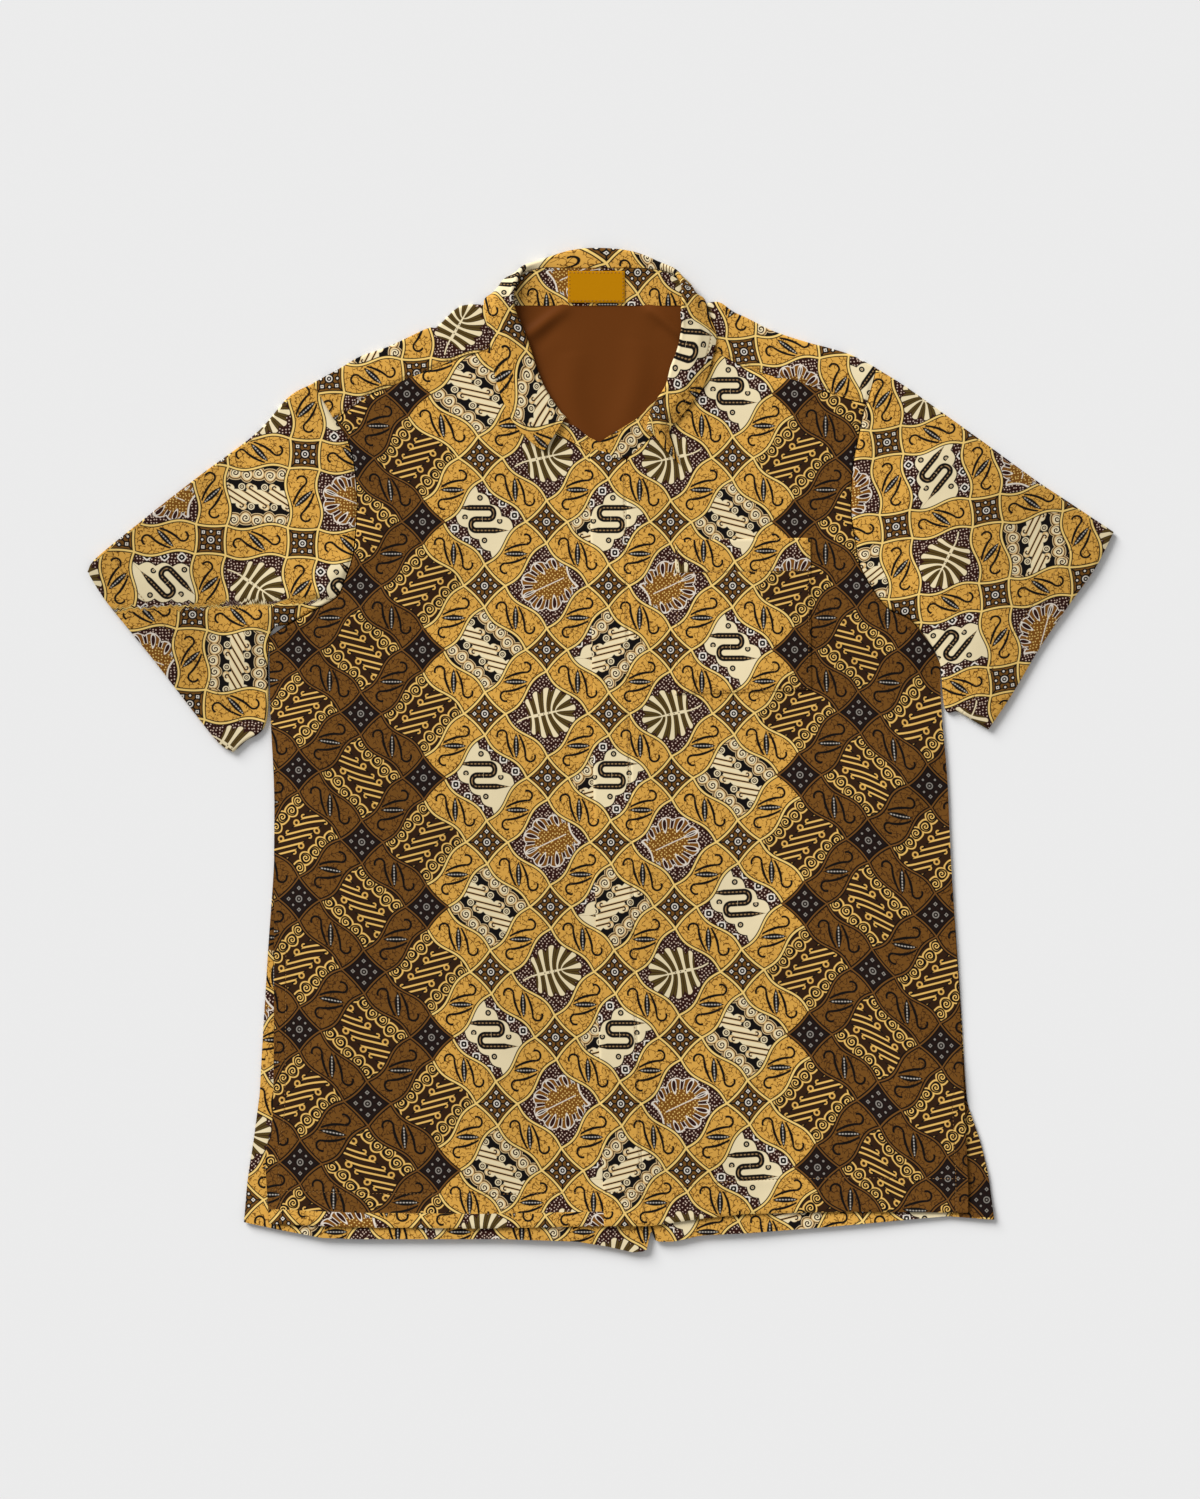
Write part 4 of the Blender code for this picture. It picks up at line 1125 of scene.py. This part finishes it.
def sewn_front(name, plan, height, wall, finish, edges, vent_top, vent_way, printed_x):
    """A front pressed down at its seams, with its hem and its vent turned in and stitched."""
    side, seam, hem, arm = edges
    x, y = plan[..., 0], plan[..., 1]
    away = distance_to(x, y, hem)
    height = height - dip(distance_to(x, y, seam), *YOKE_DIP)
    height = height - dip(distance_to(x, y, arm), *ARM_DIP)
    vent = [point for point in side if point[1] < vent_top + 5]
    return sewn_cloth(name, laid(plan, height + turned_hem(away), wall), wall, finish,
                      front_lattice(printed_x, y), [(hem, HEM_DEPTH), (vent, vent_way)],
                      band=away - HEM_ROLL)


def build_front_right(wall, pitch):
    neck = moved_aside(neck_line(STAND_END_RIGHT + COLLAR_SECTIONS[:6]), NECK_LAP)[::-1]
    seam = [(x, y + SEAM_CLEAR) for x, y in YOKE_SEAM_RIGHT]
    neck = [seam[-1], *map(tuple, neck[:-1]), UNDERLAP_EDGE[-1]]
    plan = front_plan(FRONT_SIDE_RIGHT, ARMHOLE_RIGHT, seam, UNDERLAP_EDGE, FRONT_HEM_RIGHT,
                      neck, pitch, 1.0)
    x, y = plan[..., 0], plan[..., 1]
    lively = smooth((CALM_FROM - x) / (CALM_FROM - CALM_TO))
    height = side_height(x, y, FRONT_SIDE_RIGHT, VENT_TOP_RIGHT)
    height = height + (fold_height(x, y) + ease(x, y)) * lively
    arm = plan[:, 0][plan[:, 0, 1] > ARM_FROM_RIGHT]
    printed_x = x + smooth((y - 200) / 90) * (4 + 9 * smooth((-x - 60) / 100))
    edges = FRONT_SIDE_RIGHT, YOKE_SEAM_RIGHT, FRONT_HEM_RIGHT, arm
    return sewn_front("front_right_cloth", plan, height, wall,
                      printed_cotton("right front", BODY_ZONE, 1, HEM_JUMP), edges,
                      VENT_TOP_RIGHT, -VENT_TURN, printed_x)


def build_front_left(wall, pitch):
    neck = moved_aside(neck_line(COLLAR_SECTIONS[21:] + STAND_END_LEFT[:2]), NECK_LAP)
    seam = [(x, y + SEAM_CLEAR) for x, y in YOKE_SEAM_LEFT[::-1]]
    neck = [seam[-1], *map(tuple, neck), PLACKET_SEAM[-1]]
    plan = front_plan(FRONT_SIDE_LEFT, ARMHOLE_LEFT, seam, PLACKET_SEAM, FRONT_HEM_LEFT[::-1],
                      neck, pitch, -1.0)
    x, y = plan[..., 0], plan[..., 1]
    height = left_front_height(x, y) + ease(x, y) * smooth((x - RISE_FROM) / 30)
    height = height - dip(distance_to(x, y, PLACKET_SEAM), *PLACKET_DIP)
    arm = plan[:, -1][plan[:, -1, 1] > ARM_FROM_LEFT]
    edges = FRONT_SIDE_LEFT, YOKE_SEAM_LEFT, FRONT_HEM_LEFT, arm
    return sewn_front("front_left_cloth", plan, height, wall,
                      printed_cotton("left front", BODY_ZONE, 0), edges, VENT_TOP_LEFT,
                      VENT_TURN, x)


def build_placket(wall, pitch):
    down, across = marks(length_of(PLACKET_EDGE), pitch), marks(PLACKET_WIDE, pitch)
    top = [(x, y + PLACKET_TUCK * (x - PLACKET_TOP[0][0]) / 20) for x, y in PLACKET_TOP]
    hem = (PLACKET_EDGE[0], PLACKET_SEAM[0])
    plan = patch(at(PLACKET_EDGE, down), at((*PLACKET_SEAM[:-1], top[-1]), down),
                 at(hem, across, rounded=False), at(top, across))
    x, y = plan[..., 0], plan[..., 1]
    height = PLACKET_LAYER + 0.35 * ease(x, y) - 1.2 * smooth((y - 234) / 10)
    height = height - dip(distance_to(x, y, PLACKET_EDGE), *EDGE_DIP)
    height = height - dip(distance_to(x, y, PLACKET_SEAM), *PLACKET_DIP)
    height = height + turned_hem(distance_to(x, y, hem), 0.3)
    return sewn_cloth("placket_cloth", laid(plan, height, wall), wall,
                      printed_cotton("placket", BODY_ZONE, 0), front_lattice(x, y),
                      [(PLACKET_SEAM, 2.0), (hem, HEM_DEPTH)])


def build_pocket(wall, pitch):
    plan = square_patch(POCKET, pitch * POCKET_FINER, POCKET_RUNS)
    x, y = plan[..., 0], plan[..., 1]
    low_right, low_left, high_left, high_right = POCKET
    sewn = (high_right, low_right, low_left, high_left)
    mouth = distance_to(x, y, (high_right, high_left))
    edge = np.minimum(distance_to(x, y, sewn), mouth)
    height = left_front_height(x, y) + ease(x, y) + 1.25 - dip(edge, *POCKET_DIP)
    height = height + 0.35 * smooth((POCKET_BAND + 0.5 - mouth) / 1.5)
    return sewn_cloth("chest_pocket_cloth", laid(plan, height, wall), wall,
                      printed_cotton("pocket", BODY_ZONE, 0, POCKET_JUMP), front_lattice(x, y),
                      [(sewn, 1.8), ((high_right, high_left), -POCKET_BAND)], cornered=True,
                      band=mouth - POCKET_BAND)


def build_yoke(wall, pitch):
    """Folded over both shoulders: the back layer, then the layer that comes to the front."""
    shoulder_run, neck_run, back_run, front_run = YOKE_RUNS
    side_marks = marks(shoulder_run, pitch)
    ends = slice(len(side_marks) - 1, -len(side_marks))
    neck = [(x, y - 0.6) for x, y in neck_line(COLLAR_SECTIONS[10:17])]
    neck_marks = marks(neck_run, pitch, fine_start=False, fine_end=False)[1:-1]
    crown = np.concatenate([at((SHOULDER_TIP_RIGHT, *SHOULDER_RIGHT[1:]), side_marks),
                            at(neck, neck_marks),
                            at((*SHOULDER_LEFT[:-1], SHOULDER_TIP_LEFT), side_marks)])
    low = np.array((ARMHOLE_RIGHT[-1], ARMHOLE_LEFT[-1])) + (0, 0.3)
    bottom = at(low, shares_of(crown), rounded=False)
    seam = np.concatenate([at(YOKE_SEAM_RIGHT, side_marks), crown[ends][1:],
                           at(YOKE_SEAM_LEFT, side_marks)])
    radius = TOP_LAYER / 2
    inner = crown - (0, radius + wall / 2)
    back_shares = marks(back_run, pitch, fine_start=False, fine_end=False)
    layers = [np.column_stack([mix(bottom, inner, share), np.full(len(inner), wall / 2)])
              for share in back_shares]
    for turn in np.arange(1, 8) * math.pi / 8:
        rise = radius * (1 - math.cos(turn)) + wall / 2
        layers.append(np.column_stack([inner + (0, radius * math.sin(turn)),
                                       np.full(len(inner), rise)]))
    front_shares = marks(front_run, pitch, fine_start=False)
    for share in front_shares:
        plan = mix(inner, seam, share)
        x, y = plan.T
        lift = (fold_height(x, y) + ease(x, y)) * math.sin(math.pi * share) ** 0.6
        height = TOP_LAYER + wall / 2 + lift + 0.55 * smooth(share * 3) * smooth((1 - share) * 9)
        arm = np.minimum(distance_to(x, y, ARMHOLE_RIGHT[-2:] + (SHOULDER_TIP_RIGHT,)),
                         distance_to(x, y, ARMHOLE_LEFT[-2:] + (SHOULDER_TIP_LEFT,)))
        layers.append(np.column_stack([plan, height - dip(arm, *YOKE_ARM_DIP)]))
    grid = np.array(layers)
    x, y = grid[..., 0], grid[..., 1]
    lattice = np.where((x < 0)[..., None], lattice_at(x, y, YOKE_PRINT_RIGHT),
                       lattice_at(x, y, YOKE_PRINT_LEFT))
    keep = np.ones(x.shape, bool)
    keep[len(back_shares) - 1:, ends] = False
    left_finish = printed_cotton("yoke left", NO_ZONE, 0)
    return sewn_cloth("yoke_cloth", grid, wall, printed_cotton("yoke", NO_ZONE, 1), lattice,
                      [(YOKE_SEAM_RIGHT, 1.8), (YOKE_SEAM_LEFT, 1.8)],
                      top=grid[-len(front_shares):], keep=keep,
                      other=(lambda x, y: x > 0, left_finish))


def build_sleeve(name, side, wall, pitch, fold, cuff, top, under, place, phase):
    """A flattened tube with rolled edges: upper layer, underarm edge, lower layer, fold."""
    radius = TOP_LAYER / 2
    inset = radius + wall / 2
    fold_marks = marks(length_of(fold), pitch)
    under_line, fold_line = at(under, fold_marks), at(fold, fold_marks)
    fold_in = moved_aside(fold_line, side * inset)
    under_in = moved_aside(under_line, -side * inset)
    across = marks(length_of(cuff), pitch, fine_start=False, fine_end=False)
    start, end = at(top, across), at(cuff, across)
    start[0], start[-1], end[0], end[-1] = fold_in[0], under_in[0], fold_in[-1], under_in[-1]
    plan = patch(fold_in, under_in, start, end)
    x, y = plan[..., 0], plan[..., 1]
    cuff_edge = distance_to(x, y, cuff)
    turned = smooth((HEM_DEPTH - 2.2 - cuff_edge) / 1.6)
    edge = np.minimum(distance_to(x, y, fold_in), distance_to(x, y, under_in))
    upper = TOP_LAYER + wall / 2 + (fold_height(x, y) + ease(x, y)) * smooth(edge / 12)
    upper = upper - dip(distance_to(x, y, top), *SLEEVE_DIP) + 0.45 * turned
    upper = upper - dip(cuff_edge, *HEM_DIP)
    if side > 0:
        upper = upper + tuck_height(x, y)
    lower = wall / 2 + 0.25 * turned
    steps = np.arange(1, 8) * math.pi / 8
    swell = (np.sin(steps) * radius / inset)[:, None]
    under_cap, fold_cap = (line_in[:, None] + (line - line_in)[:, None] * swell
                           for line_in, line in ((under_in, under_line), (fold_in, fold_line)))
    share = (1 + np.cos(steps)) / 2
    under_high = mix(lower[:, -1:], upper[:, -1:], share[None])
    fold_high = mix(lower[:, :1], upper[:, :1], share[None, ::-1])
    columns = [np.dstack([x, y, upper]), np.dstack([under_cap, under_high[..., None]]),
               np.dstack([x, y, lower])[:, ::-1], np.dstack([fold_cap, fold_high[..., None]])]
    grid = np.concatenate(columns, axis=1)
    x, y = grid[..., 0], grid[..., 1]
    below = smooth(tuck_side(x, y) / 2.0) * (side > 0)
    lattice = lattice_at(x + TUCK_JUMP[0] * below, y + TUCK_JUMP[1] * below, place)
    hidden = slice(plan.shape[1] + len(steps), None)
    lattice[:, hidden] = lattice_at(*mirrored(x[:, hidden], y[:, hidden], fold), place)
    return sewn_cloth(name + "_cloth", grid, wall, printed_cotton(name, NO_ZONE, phase), lattice,
                      [(cuff, side * (HEM_DEPTH - 3))], top=columns[0], ring=True)


def mirrored(x, y, line):
    """Places turned over the straight line between the ends of a fold."""
    (x0, y0), (x1, y1) = line[0], line[-1]
    long = math.hypot(x1 - x0, y1 - y0)
    nx, ny = -(y1 - y0) / long, (x1 - x0) / long
    off = (x - x0) * nx + (y - y0) * ny
    return x - 2 * off * nx, y - 2 * off * ny


def tuck_side(x, y):
    """How far a place lies below the tuck's line."""
    x0, y0, x1, y1 = TUCK
    return (y0 + (x - x0) * (y1 - y0) / (x1 - x0)) - y


def tuck_height(x, y):
    """A soft trough with a rolled lip above it, fading toward the middle of the sleeve."""
    x0, _, x1, _ = TUCK
    share = np.clip((x - x0) / (x1 - x0), 0, 1)
    below = tuck_side(x, y)
    fade = smooth(share * 4 + (x > x1)) * smooth((x1 + 20 - x) / 30)
    lip = 0.9 * np.exp(-((below + 5) / 5) ** 2)
    return (lip - 1.1 * np.exp(-((below - 1) / 2.6) ** 2)) * fade


def build_sleeves(wall, pitch):
    for name, side, armhole, underarm, fold, cuff, place, phase in (
            ("sleeve_right", 1.0, (*ARMHOLE_RIGHT, SHOULDER_TIP_RIGHT), UNDERARM_RIGHT,
             SLEEVE_FOLD_RIGHT, CUFF_RIGHT, SLEEVE_PRINT_RIGHT, 1),
            ("sleeve_left", -1.0, (*ARMHOLE_LEFT, SHOULDER_TIP_LEFT), UNDERARM_LEFT,
             SLEEVE_FOLD_LEFT, CUFF_LEFT, SLEEVE_PRINT_LEFT, 0)):
        end = moved_aside(armhole, -0.4 * side)
        under = np.concatenate([end[ARMHOLE_TURN::-1], np.array(underarm, float)])
        yield build_sleeve(name, side, wall, pitch, fold, cuff, end[:ARMHOLE_TURN - 1:-1], under,
                           place, phase)


def leaf_frame():
    """For every collar section: along the cloth to the fold, and out to the leaf."""
    sections = np.array(COLLAR_SECTIONS, float)
    seam, fold = sections[:, 1], sections[:, 2]
    reach = (fold - seam) / np.linalg.norm(fold - seam, axis=1)[:, None]
    out = np.cross(reach, np.gradient(fold, axis=0))
    return sections, reach, out / np.linalg.norm(out, axis=1)[:, None]


def build_stand(wall):
    sections, reach, out = leaf_frame()
    gap = np.full((len(sections), 1), COLLAR_GAP)
    gap[list(TURN_SECTIONS)] = TURN_GAP
    top = sections[:, 1] - reach * gap - out * 0.5 * LEAF_WALL
    for number, point in STAND_SHOWS.items():
        top[number] = point
    pairs = np.concatenate([STAND_END_RIGHT, np.stack([sections[:, 0], top], axis=1),
                            STAND_END_LEFT])
    fine = through(pairs, 6)
    grid = mix(fine[None, :, 0], fine[None, :, 1], marks(30, 2.6)[:, None, None])
    x, y = grid[..., 0], grid[..., 1]
    return make_cloth("collar_stand_cloth", grid, wall, printed_cotton("stand", NO_ZONE, 0),
                      lattice_at(x, y, STAND_PRINT), distance_to(x, y, fine[:, 1]) - 2.0)


def build_leaf(wall):
    sections, reach, out = leaf_frame()
    seam, fold, middle, edge = (sections[:, k] for k in (1, 2, 3, 4))
    center = fold - reach * (LEAF_ROLL + LEAF_WALL)
    raised = np.array((0, 0, LEAF_WALL / 2))
    tracks = [seam - out * LEAF_WALL / 2 * 0.2]
    for angle in np.arange(9) * math.pi / 8:
        way = reach * math.sin(angle) - out * math.cos(angle)
        tracks.append(center + way * (LEAF_ROLL + LEAF_WALL / 2))
    for start, end, steps in ((tracks[-1], middle, 6), (middle + raised, edge, 9)):
        tracks += [mix(start, end + raised, share) for share in np.linspace(0, 1, steps + 1)[1:]]
    grid = through(np.stack(tracks, axis=1), 8).transpose(1, 0, 2)
    run = run_along(grid)
    number = np.arange(grid.shape[1]) / 8
    total = np.interp(number, *zip(*LEAF_PRINT))[None]
    difference = (run - run[5] - 4) / LEAF_STEP
    lattice = np.stack([(total + difference) / 2, (total - difference) / 2], axis=-1)
    stitches = (run[-1] - run) - LEAF_STITCH
    ends = np.minimum(number, number[-1] - number)[None] * 9.0 - 5
    stitches = np.where(np.abs(ends) < np.abs(stitches), ends, stitches)
    piece = make_cloth("collar_leaf_cloth", grid, wall, printed_cotton("leaf", NO_ZONE, 0),
                       lattice, stitches)
    inset = [[np.interp(track_run[-1] - LEAF_STITCH, track_run, axis) for axis in track.T]
             for track_run, track in zip(run.T, grid.transpose(1, 0, 2))]
    sew(piece, [np.array(inset) + (0, 0, wall / 2)])
    return piece


def build_hem_facing(wall):
    fine = at(HEM_SECTIONS, np.linspace(0, 1, 260), rounded=False)
    plan = mix(fine[None, :, :2], fine[None, :, 2:], marks(26, 4.0)[:, None, None])
    x, y = plan[..., 0], plan[..., 1]
    corner_x, corner_y = FRONT_SIDE_LEFT[0]
    return make_cloth("back_hem_facing_cloth", laid(plan, FACING_LAYER + ease(x, y), wall), wall,
                      printed_cotton("hem facing", NO_ZONE, 1),
                      lattice_at(x, y, BODY_PRINT) + FACING_JUMP,
                      # The facing along the left vent lies under the front's edge and takes the
                      # dusky print all over there, as painted shade.
                      other=(lambda x, y: x > corner_x - 8 and y > corner_y - 4,
                             printed_cotton("hem facing left in painted shade", ALL_DUSKY, 0)))


def build_lining(wall):
    low_right, low_left, high_left, high_right = LINING
    under_stand = [(x, y + LINING_TUCK) for x, y in (high_left, high_right)]
    plan = square_patch((low_right, low_left, *under_stand), 2.5)
    x, y = plan[..., 0], plan[..., 1]
    height = 1.5 + fold_height(x, y, LINING_FOLDS) + 0.3 * ease(x * 1.2, y * 1.3)
    finish = satin("brown satin", bpy.context.scene.batik_shirt.satin, 0.5, 900.0)
    return make_cloth("neck_lining_cloth", laid(plan, height, wall), wall, finish,
                      lattice_at(x, y, BODY_PRINT))


def build_label(wall):
    plan = square_patch(LABEL, 1.5)
    x, y = plan[..., 0], plan[..., 1]
    rise = (y - LABEL[0][1]) / (LABEL[3][1] - LABEL[0][1])
    edge = (*LABEL, LABEL[0])
    height = 3.5 + 1.2 * rise - dip(distance_to(x, y, edge), *LABEL_DIP) + 0.12 * ease(x * 2, y * 2)
    finish = satin("ochre label", bpy.context.scene.batik_shirt.label, 0.45, 1600.0)
    return sewn_cloth("neck_label_cloth", laid(plan, height, wall), wall, finish,
                      lattice_at(x, y, BODY_PRINT), [(edge, 1.4)], cornered=True)


def span(label, description, default, low, high):
    """A length in metres that the panel offers."""
    return FloatProperty(name=label, description=description, default=default, min=low, max=high,
                         subtype="DISTANCE", unit="LENGTH")


def dye(label, description, code):
    """A color that the panel offers."""
    return FloatVectorProperty(name=label, description=description, default=linear(code)[:3],
                               size=3, min=0, max=1, subtype="COLOR")


class BatikShirtSettings(PropertyGroup):
    """Sizes and colors of the shirt."""

    wall: span("Cloth wall", "Thickness of the cotton and its facings", 0.0009, 0.0004, 0.0014)
    satin_wall: span("Satin wall", "Thickness of the lining and label", 0.0007, 0.0003, 0.001)
    pitch: span("Grid pitch", "Distance between the cloth's points", 0.0036, 0.002, 0.02)
    camera_height: span("Camera height", "Camera above the floor", 6.0, 2.0, 20.0)
    ochre: dye("Ochre", "Ground of the lattice's panels", "DBA54A")
    cream: dye("Cream", "Undyed cotton of the motifs", "EEDDB4")
    black: dye("Black", "Darkest dye", "0E0908")
    dusk: dye("Dusk", "Panels of the brown stretches", "724A1A")
    gold: dye("Gold", "Lines drawn on dark motifs", "E0AE58")
    satin: dye("Satin", "Lining inside the neck", "653612")
    label: dye("Label", "Plain woven label", "BB7E05")
    thread: dye("Thread", "Sewing thread", "8A5F24")
    floor: FloatVectorProperty(name="Floor", description="Pale floor", subtype="COLOR",
                               default=(0.82, 0.82, 0.82), size=3, min=0, max=1)


class PieceOperator:
    """What the pieces' operators share: their pieces are built, then declared one by one."""

    def execute(self, context):
        settings = context.scene.batik_shirt
        sizes = settings.wall / MM, settings.satin_wall / MM, settings.pitch / MM
        for piece, slot, flat, area, *rests_on in self.pieces(*sizes):
            declare(piece, slot, flat, area, rests_on)
        return {"FINISHED"}


class BATIK_OT_back(PieceOperator, Operator):
    """Builds the back and the turned-up facing of its hem"""

    bl_idname = "batik.back"
    bl_label = "Back"

    def pieces(self, wall, _, pitch):
        yield build_back(wall, pitch * BACK_COARSER), COTTON_SLOT, (0.64, 0.70), 0.405
        yield build_hem_facing(wall), COTTON_SLOT, (0.90, 0.028), None, "back_cloth"


class BATIK_OT_yoke(PieceOperator, Operator):
    """Builds the yoke over both shoulders"""

    bl_idname = "batik.yoke"
    bl_label = "Yoke"

    def pieces(self, wall, _, pitch):
        yield build_yoke(wall, pitch), COTTON_SLOT, (0.50, 0.16), 0.052, "back_cloth"


class BATIK_OT_fronts(PieceOperator, Operator):
    """Builds both fronts"""

    bl_idname = "batik.fronts"
    bl_label = "Fronts"

    def pieces(self, wall, _, pitch):
        yield build_front_right(wall, pitch), COTTON_SLOT, (0.32, 0.73), 0.190, "back_cloth"
        yield build_front_left(wall, pitch), COTTON_SLOT, (0.29, 0.73), 0.170, "back_cloth"


class BATIK_OT_placket(PieceOperator, Operator):
    """Builds the button placket"""

    bl_idname = "batik.placket"
    bl_label = "Placket"

    def pieces(self, wall, _, pitch):
        yield build_placket(wall, pitch), COTTON_SLOT, (0.04, 0.65), 0.021, "front_right_cloth"


class BATIK_OT_pocket(PieceOperator, Operator):
    """Builds the chest pocket"""

    bl_idname = "batik.pocket"
    bl_label = "Chest pocket"

    def pieces(self, wall, _, pitch):
        yield build_pocket(wall, pitch), COTTON_SLOT, (0.115, 0.13), None, "front_left_cloth"


class BATIK_OT_sleeves(PieceOperator, Operator):
    """Builds both sleeves as flattened tubes"""

    bl_idname = "batik.sleeves"
    bl_label = "Sleeves"

    def pieces(self, wall, _, pitch):
        for piece in build_sleeves(wall, pitch):
            yield piece, COTTON_SLOT, (0.50, 0.26), 0.100


class BATIK_OT_collar(PieceOperator, Operator):
    """Builds the collar's stand and leaf"""

    bl_idname = "batik.collar"
    bl_label = "Collar"

    def pieces(self, wall, _, pitch):
        yield build_stand(wall), COTTON_SLOT, (0.50, 0.032), 0.012, "yoke_cloth"
        yield (build_leaf(wall * LEAF_THICKER), COTTON_SLOT, (0.50, 0.05), 0.020,
               "collar_stand_cloth")


class BATIK_OT_lining(PieceOperator, Operator):
    """Builds the satin lining that shows inside the neck, and the plain label"""

    bl_idname = "batik.lining"
    bl_label = "Lining and label"

    def pieces(self, _, satin_wall, pitch):
        yield build_lining(satin_wall), "brown_satin", (0.172, 0.144), 0.0225, "back_cloth"
        yield build_label(satin_wall), "ochre_label", (0.047, 0.026), None, "collar_stand_cloth"


class BATIK_OT_stage(Operator):
    """Builds the floor, the light and the camera"""

    bl_idname = "batik.stage"
    bl_label = "Stage"

    def execute(self, context):
        settings = context.scene.batik_shirt
        bpy.ops.mesh.primitive_plane_add(size=14, location=(0, 0, -0.0004))
        floor = context.object
        floor.name = "floor"
        paper, _, shader = new_material("pale floor", 0.9)
        shader.inputs["Base Color"].default_value = (*settings.floor, 1)
        floor.data.materials.append(paper)
        key = bpy.data.lights.new("key", "SUN")
        key.energy, key.angle = SUN_ENERGY, math.radians(SUN_ANGLE)
        placed("key", key).rotation_euler = Vector(SUN_WAY).to_track_quat("-Z", "Y").to_euler()
        sky = bpy.data.worlds.new("studio")
        sky.use_nodes = True
        sky.node_tree.nodes["Background"].inputs[0].default_value = (1, 1, 1, 1)
        sky.node_tree.nodes["Background"].inputs[1].default_value = SKY_STRENGTH
        context.scene.world = sky
        lens = bpy.data.cameras.new("camera")
        lens.lens = lens.sensor_width * (settings.camera_height - SHIRT_MIDDLE) / FRAME_HEIGHT
        lens.clip_end = 50
        camera = placed("camera", lens)
        camera.location = (-0.0004, 0.0004, settings.camera_height)
        context.scene.camera = camera
        context.scene.view_settings.view_transform = "Standard"
        return {"FINISHED"}


PIECES = (BATIK_OT_back, BATIK_OT_yoke, BATIK_OT_sleeves, BATIK_OT_fronts, BATIK_OT_placket,
          BATIK_OT_pocket, BATIK_OT_collar, BATIK_OT_lining, BATIK_OT_stage)


class BATIK_PT_panel(Panel):
    """Lists the settings and the pieces in the sidebar."""

    bl_label = "Batik shirt"
    bl_space_type = "VIEW_3D"
    bl_region_type = "UI"
    bl_category = "Batik shirt"

    def draw(self, context):
        settings = context.scene.batik_shirt
        for name in settings.__annotations__:
            self.layout.prop(settings, name)
        for piece in PIECES:
            self.layout.operator(piece.bl_idname)


CLASSES = (BatikShirtSettings, *PIECES, BATIK_PT_panel)


def register():
    for kind in CLASSES:
        bpy.utils.register_class(kind)
    bpy.types.Scene.batik_shirt = PointerProperty(type=BatikShirtSettings)


def unregister():
    del bpy.types.Scene.batik_shirt
    for kind in reversed(CLASSES):
        bpy.utils.unregister_class(kind)


def main():
    register()
    for piece in PIECES:
        group, action = piece.bl_idname.split(".")
        getattr(getattr(bpy.ops, group), action)()


if __name__ == "__main__":
    main()
